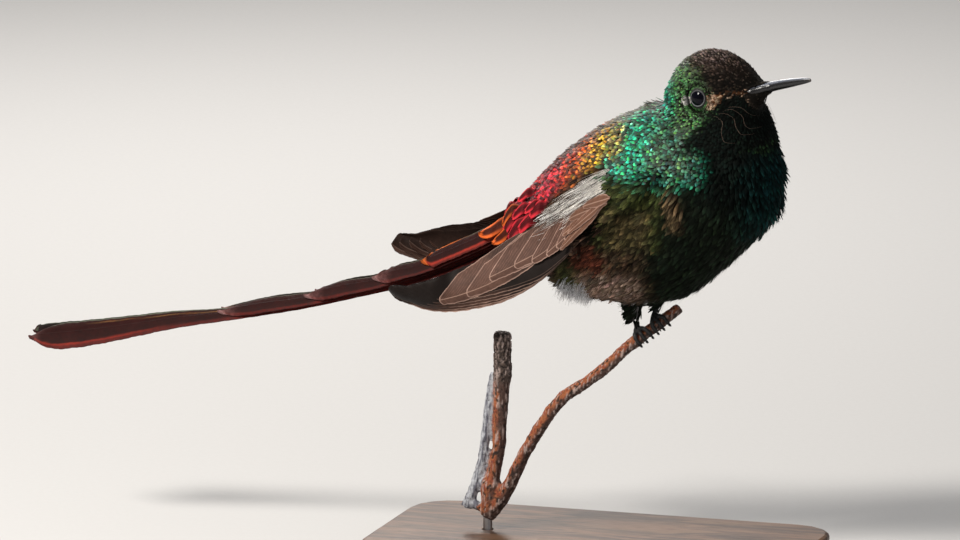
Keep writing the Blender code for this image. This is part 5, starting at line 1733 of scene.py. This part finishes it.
def makeThroatHairs():
    points = []
    faces = []
    offset = 0
    for sign in (1.0, -1.0):
        for number, arc in enumerate(hairSettings["arcs"]):
            share = np.linspace(0.0, 3.0, hairSettings["spots"])
            forward, up = (np.polyval(np.polyfit(range(4), values, 3), share) for values in zip(*arc))
            forward = forward + 0.06 * np.sin(share * 6.0 + number)
            line = []
            for f, u in zip(forward, up):
                start = headMiddle + ahead * f + headUp * u + toRight * sign * 14.0
                spot, normal, *_ = skinTree.ray_cast(Vector(start), Vector(-toRight * sign))
                if spot is not None:
                    outward = sign * np.sign(np.array(normal) @ toRight)
                    line.append(np.array(spot) + np.array(normal) * outward * hairSettings["lift"])
            line = np.array(line)
            taper = 0.3 + 0.7 * np.sin(np.linspace(0.1, math.pi - 0.1, len(line)))
            wide = hairSettings["width"] * taper[:, None]
            across = unit(np.cross(unit(np.gradient(line, axis=0)), toRight))
            ribbon = np.stack((line - across * wide / 2, line + across * wide / 2), axis=1)
            points.append(ribbon.reshape(-1, 3))
            faces.append(gridFaces(1, len(line), 2) + offset)
            offset += len(line) * 2
    points = np.concatenate(points)
    places, _ = skinUnwrap(points)
    tint, glow, vane = (np.tile(values, (len(points), 1))
                        for values in (hairSettings["tint"], hairSettings["glow"], (0.5, 0.8)))
    item = makeMesh("throat_hairs", points, np.concatenate(faces),
                    {"OFBake": places, "vane": vane, "barb": vane}, {"tint": tint, "glow": glow})
    finishPiece(item, downMaterial, "throat_green")


makeThroatHairs()
print("muzzle feathers and throat hairs are made")


# Feet: the frame's toes and claws, rounded, with scutes across their tops

footSettings = {"voxel": 0.13, "smoothing": 4, "roughness": 0.10, "clawVoxel": 0.09, "clawSmoothing": 2}
# dark and light colour, size of the scutes, roughness and shine
hornLooks = {"toeSkin": ((0.004, 0.004, 0.004, 1.0), (0.030, 0.027, 0.026, 1.0), 0.42, 0.42, 0.35),
             "clawHorn": ((0.003, 0.003, 0.003, 1.0), (0.020, 0.018, 0.018, 1.0), 1.5, 0.22, 0.5)}


def hornMaterial(name):
    dark, light, scute, rough, shine = hornLooks[name]
    material, tree, shader = newMaterial(name)
    grain = speckle(tree, 3.0)
    cells = addNode(tree, "TexVoronoi", {"Vector": objectPlace(tree), "Scale": 1.0 / (scute * mm)},
                    feature="DISTANCE_TO_EDGE")
    plate = softStep(tree, cells.outputs["Distance"], 0.0, 0.12)
    share = calc(tree, "MULTIPLY", plate, calc(tree, "MULTIPLY_ADD", grain, 1.2, -0.2), clamp=True)
    colour = mixColour(tree, share, dark, light)
    wire(tree, shader, colour, calc(tree, "MULTIPLY_ADD", grain, 0.25, rough), shine)
    addBump(tree, shader, plate, 0.05)
    return material


def makeFeet():
    toe, horn = (hornMaterial(name) for name in hornLooks)
    for side in ("right", "left"):
        points, normals, faces = softCopy(("foot_" + side,), footSettings["voxel"],
                                          footSettings["smoothing"])
        swell = np.array([noise.noise(Vector(point) * 1.6) for point in points])
        points = points + normals * (footSettings["roughness"] * swell + 0.05)[:, None]
        finishPiece(makeMesh("toes_" + side, points, faces), toe, "foot_black", "foot_" + side)
        claws = tuple(f"claw_{side}_{number}" for number in range(1, 5))
        points, normals, faces = softCopy(claws, footSettings["clawVoxel"], footSettings["clawSmoothing"])
        finishPiece(makeMesh("claws_" + side, points + normals * 0.03, faces), horn, "foot_black", *claws)


makeFeet()


# Twig: bark with ridges, knots and peeled places, worked into the surface itself

# joints: start, end and radius of the balls that fill each fork; knots: place, height and width of each;
# peeled: place and length of each bare patch. All from the perch. coarse, middle and fibres are the sizes
# of three noises, and relief, plates, bareDeep and lip are heights.
twigSettings = {
    "voxel": 0.28, "bridge": 0.32, "smoothing": 4,
    "joints": (((-35.0, 0.1, -35.5), (-35.2, 0.2, -41.0), 1.9),
               ((-39.6, 0.7, -39.6), (-35.6, 0.3, -41.2), 0.9)),
    "knots": (((-17.4, 0.0, -18.6), 1.4, 1.0), ((-2.9, 0.0, -3.0), 0.5, 1.4),
              ((-33.8, 0.0, -35.2), 1.0, 1.0), ((-14.0, 0.0, -8.6), 0.45, 1.2),
              ((-22.0, 0.0, -21.0), 0.3, 1.0), ((-29.0, -1.0, -9.0), 0.4, 1.3)),
    "peeled": (((-24.4, -1.5, -22.3), 3.4), ((-8.5, -1.0, -9.2), 1.7)), "peeledWidth": 1.6,
    "coarse": (1.8, 1.8, 2.8), "middle": (0.7, 0.7, 0.9), "fibres": (0.4, 0.4, 2.4),
    "relief": 0.26, "plates": 0.42, "bareDeep": 0.22, "lip": 0.12, "run": (0.62, 0.0, 0.78),
    # the way the painted highlight on the bark faces
    "litSide": (-0.45, -0.25, 0.86),
}
barkColours = {"bark": (0.085, 0.045, 0.034), "lit": (0.34, 0.105, 0.038), "dark": (0.030, 0.017, 0.013),
               "fibre": (0.46, 0.35, 0.31), "blue": (0.13, 0.16, 0.27), "grey": (0.46, 0.47, 0.50),
               "greyDark": (0.14, 0.14, 0.17), "scale": (0.085, 0.058, 0.046),
               "maroon": (0.20, 0.035, 0.018)}


def field(points, size, seed):
    # smooth noise from 0 to 1 at each point; size in mm, one value for each direction
    stretched = points / np.asarray(size) + seed * 7.3
    return np.array([noise.noise(Vector(point)) for point in stretched]) * 0.5 + 0.5


def barkMaterial():
    material, tree, shader = newMaterial("twigBark")
    grain = speckle(tree, 1.8, 6.0)
    fine = speckle(tree, 6.0, 4.0)
    colour = shadeBy(tree, stored(tree, "tint"), calc(tree, "MULTIPLY_ADD", grain, 1.5, 0.25))
    flecks = calc(tree, "MULTIPLY", softStep(tree, fine, 0.60, 0.72), 0.35)
    colour = mixColour(tree, flecks, colour, (0.45, 0.36, 0.30, 1.0))
    cracks = calc(tree, "MULTIPLY", softStep(tree, grain, 0.42, 0.34), 0.55)
    colour = mixColour(tree, cracks, colour, (0.02, 0.012, 0.010, 1.0))
    wire(tree, shader, colour, calc(tree, "MULTIPLY_ADD", fine, 0.3, 0.55), 0.3)
    addBump(tree, shader, calc(tree, "MULTIPLY_ADD", fine, 0.5, grain), 0.35)
    return material


def closeness(points, node):
    # how far each point is from one of the frame's solids
    surface = bvhOf(node)
    return np.array([surface.find_nearest(Vector(point))[3] for point in points])


def makeTwig():
    nodes = ("perch_branch", "perch_stub", "perch_grey_stem")
    joints = [(perch + np.array(start), perch + np.array(end), radius)
              for start, end, radius in twigSettings["joints"]]
    points, normals, faces = softCopy(nodes, twigSettings["voxel"], twigSettings["smoothing"],
                                      twigSettings["bridge"], joints)
    colours = {name: np.array(value) for name, value in barkColours.items()}
    toBranch, toStub, toStem = (closeness(points, node) for node in nodes)
    onStem = 1.0 - smooth(toStem - np.minimum(toBranch, toStub), -0.4, 0.4)
    onStub = 1.0 - smooth(toStub - np.minimum(toBranch, toStem), -0.4, 0.4)
    place = points - perch
    z = place[:, 2]
    coarse, middle, fibres = (field(place, twigSettings[name], seed)
                              for seed, name in enumerate(("coarse", "middle", "fibres"), 1))
    rise = twigSettings["relief"] * (coarse + 0.7 * middle - 0.85 + fibres - 0.5)
    rise = rise - twigSettings["bridge"] * 0.75

    # a painted highlight: red and orange, with maroon patches, on the upper side that faces the light,
    # broken up by noise; drab and cracked below
    above = smooth(normals @ np.array(twigSettings["litSide"]) + 0.9 * (coarse - 0.5), -0.05, 0.55)
    tint = layOver(colours["bark"], colours["lit"], above)
    tint = layOver(tint, colours["maroon"], above * smooth(middle, 0.52, 0.64) * 0.8)
    tint = layOver(tint, colours["fibre"], smooth(fibres, 0.58, 0.70) * 0.75)
    tint = layOver(tint, colours["dark"], 1.0 - smooth(middle, 0.30, 0.40))
    stem = layOver(colours["grey"], colours["greyDark"], smooth(fibres, 0.46, 0.60))
    tint = layOver(tint, stem, onStem)
    # the stub's dead top is dark and scaly, and stands out in plates
    top = onStub * smooth(z, -15.0, -11.5)
    plates = smooth(np.abs(middle - 0.5), 0.02, 0.09)
    rise = rise + top * (twigSettings["plates"] * plates - 0.10)
    scale = layOver(colours["scale"], colours["fibre"], smooth(fibres, 0.52, 0.66) * 0.8)
    tint = layOver(tint, scale * (0.30 + 0.70 * plates)[:, None], top)
    for spot, height, width in twigSettings["knots"]:
        near = np.exp(-np.sum((place - np.array(spot)) ** 2, axis=1) / width**2)
        rise = rise + height * near
        tint = layOver(tint, colours["fibre"], 0.6 * near)
    run = unit(np.array(twigSettings["run"]))
    for spot, size in twigSettings["peeled"]:
        away = np.array(spot) - place
        along = away @ run
        across = np.sum((away - np.outer(along, run)) ** 2, axis=1)
        far = np.sqrt((along / size) ** 2 + across / twigSettings["peeledWidth"]**2)
        far = far + 0.4 * (coarse - 0.5)
        bare = 1.0 - smooth(far, 0.80, 0.92)
        lip = np.exp(-((far - 1.0) / 0.12) ** 2)
        rise = rise - twigSettings["bareDeep"] * bare + twigSettings["lip"] * lip
        tint = layOver(tint, colours["blue"] * (0.7 + 0.6 * fibres[:, None]), bare)
        tint = layOver(tint, colours["dark"], 0.7 * lip)
    points = points + normals * rise[:, None]
    item = makeMesh("twig", points, faces, None, {"tint": tint})
    finishPiece(item, barkMaterial(), "bark", *nodes)
    print("twig", len(faces) * 2, "triangles")


makeTwig()


# Stand: an oiled wood base and a brushed steel rod keep the frame's own shapes

def streaks(tree, stretch, scale, detail, distortion=0.0):
    # noise drawn out along one direction
    where = addNode(tree, "Mapping", {"Vector": objectPlace(tree), "Scale": stretch}).outputs[0]
    return addNode(tree, "TexNoise", {"Vector": where, "Scale": scale / mm, "Detail": detail,
                                      "Distortion": distortion}).outputs["Fac"]


def makeStand():
    wood, tree, shader = newMaterial("baseWood")
    rings = softStep(tree, streaks(tree, (0.12, 1.0, 1.0), 0.28, 6.0, 1.2), 0.38, 0.62)
    lines = streaks(tree, (0.12, 1.0, 1.0), 2.2, 3.0)
    colour = mixColour(tree, rings, (0.060, 0.028, 0.014, 1.0), (0.17, 0.088, 0.046, 1.0))
    pores = calc(tree, "MULTIPLY", softStep(tree, lines, 0.5, 0.7), 0.4)
    colour = mixColour(tree, pores, colour, (0.035, 0.017, 0.010, 1.0))
    wire(tree, shader, colour, calc(tree, "MULTIPLY_ADD", lines, 0.2, 0.34))
    addBump(tree, shader, lines, 0.05)
    steel, tree, shader = newMaterial("rodSteel")
    lines = streaks(tree, (1.0, 1.0, 12.0), 1.5, 3.0)
    colour = mixColour(tree, lines, (0.32, 0.32, 0.33, 1.0), (0.55, 0.55, 0.56, 1.0))
    wire(tree, shader, colour, calc(tree, "MULTIPLY_ADD", lines, 0.25, 0.22))
    shader.inputs["Metallic"].default_value = 1.0
    addBump(tree, shader, lines, 0.01)
    for node, material in (("stand_base", wood), ("stand_rod", steel)):
        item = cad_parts[node]
        item.data.materials.clear()
        item.data.materials.append(material)


makeStand()
print("feet, twig and stand are made")
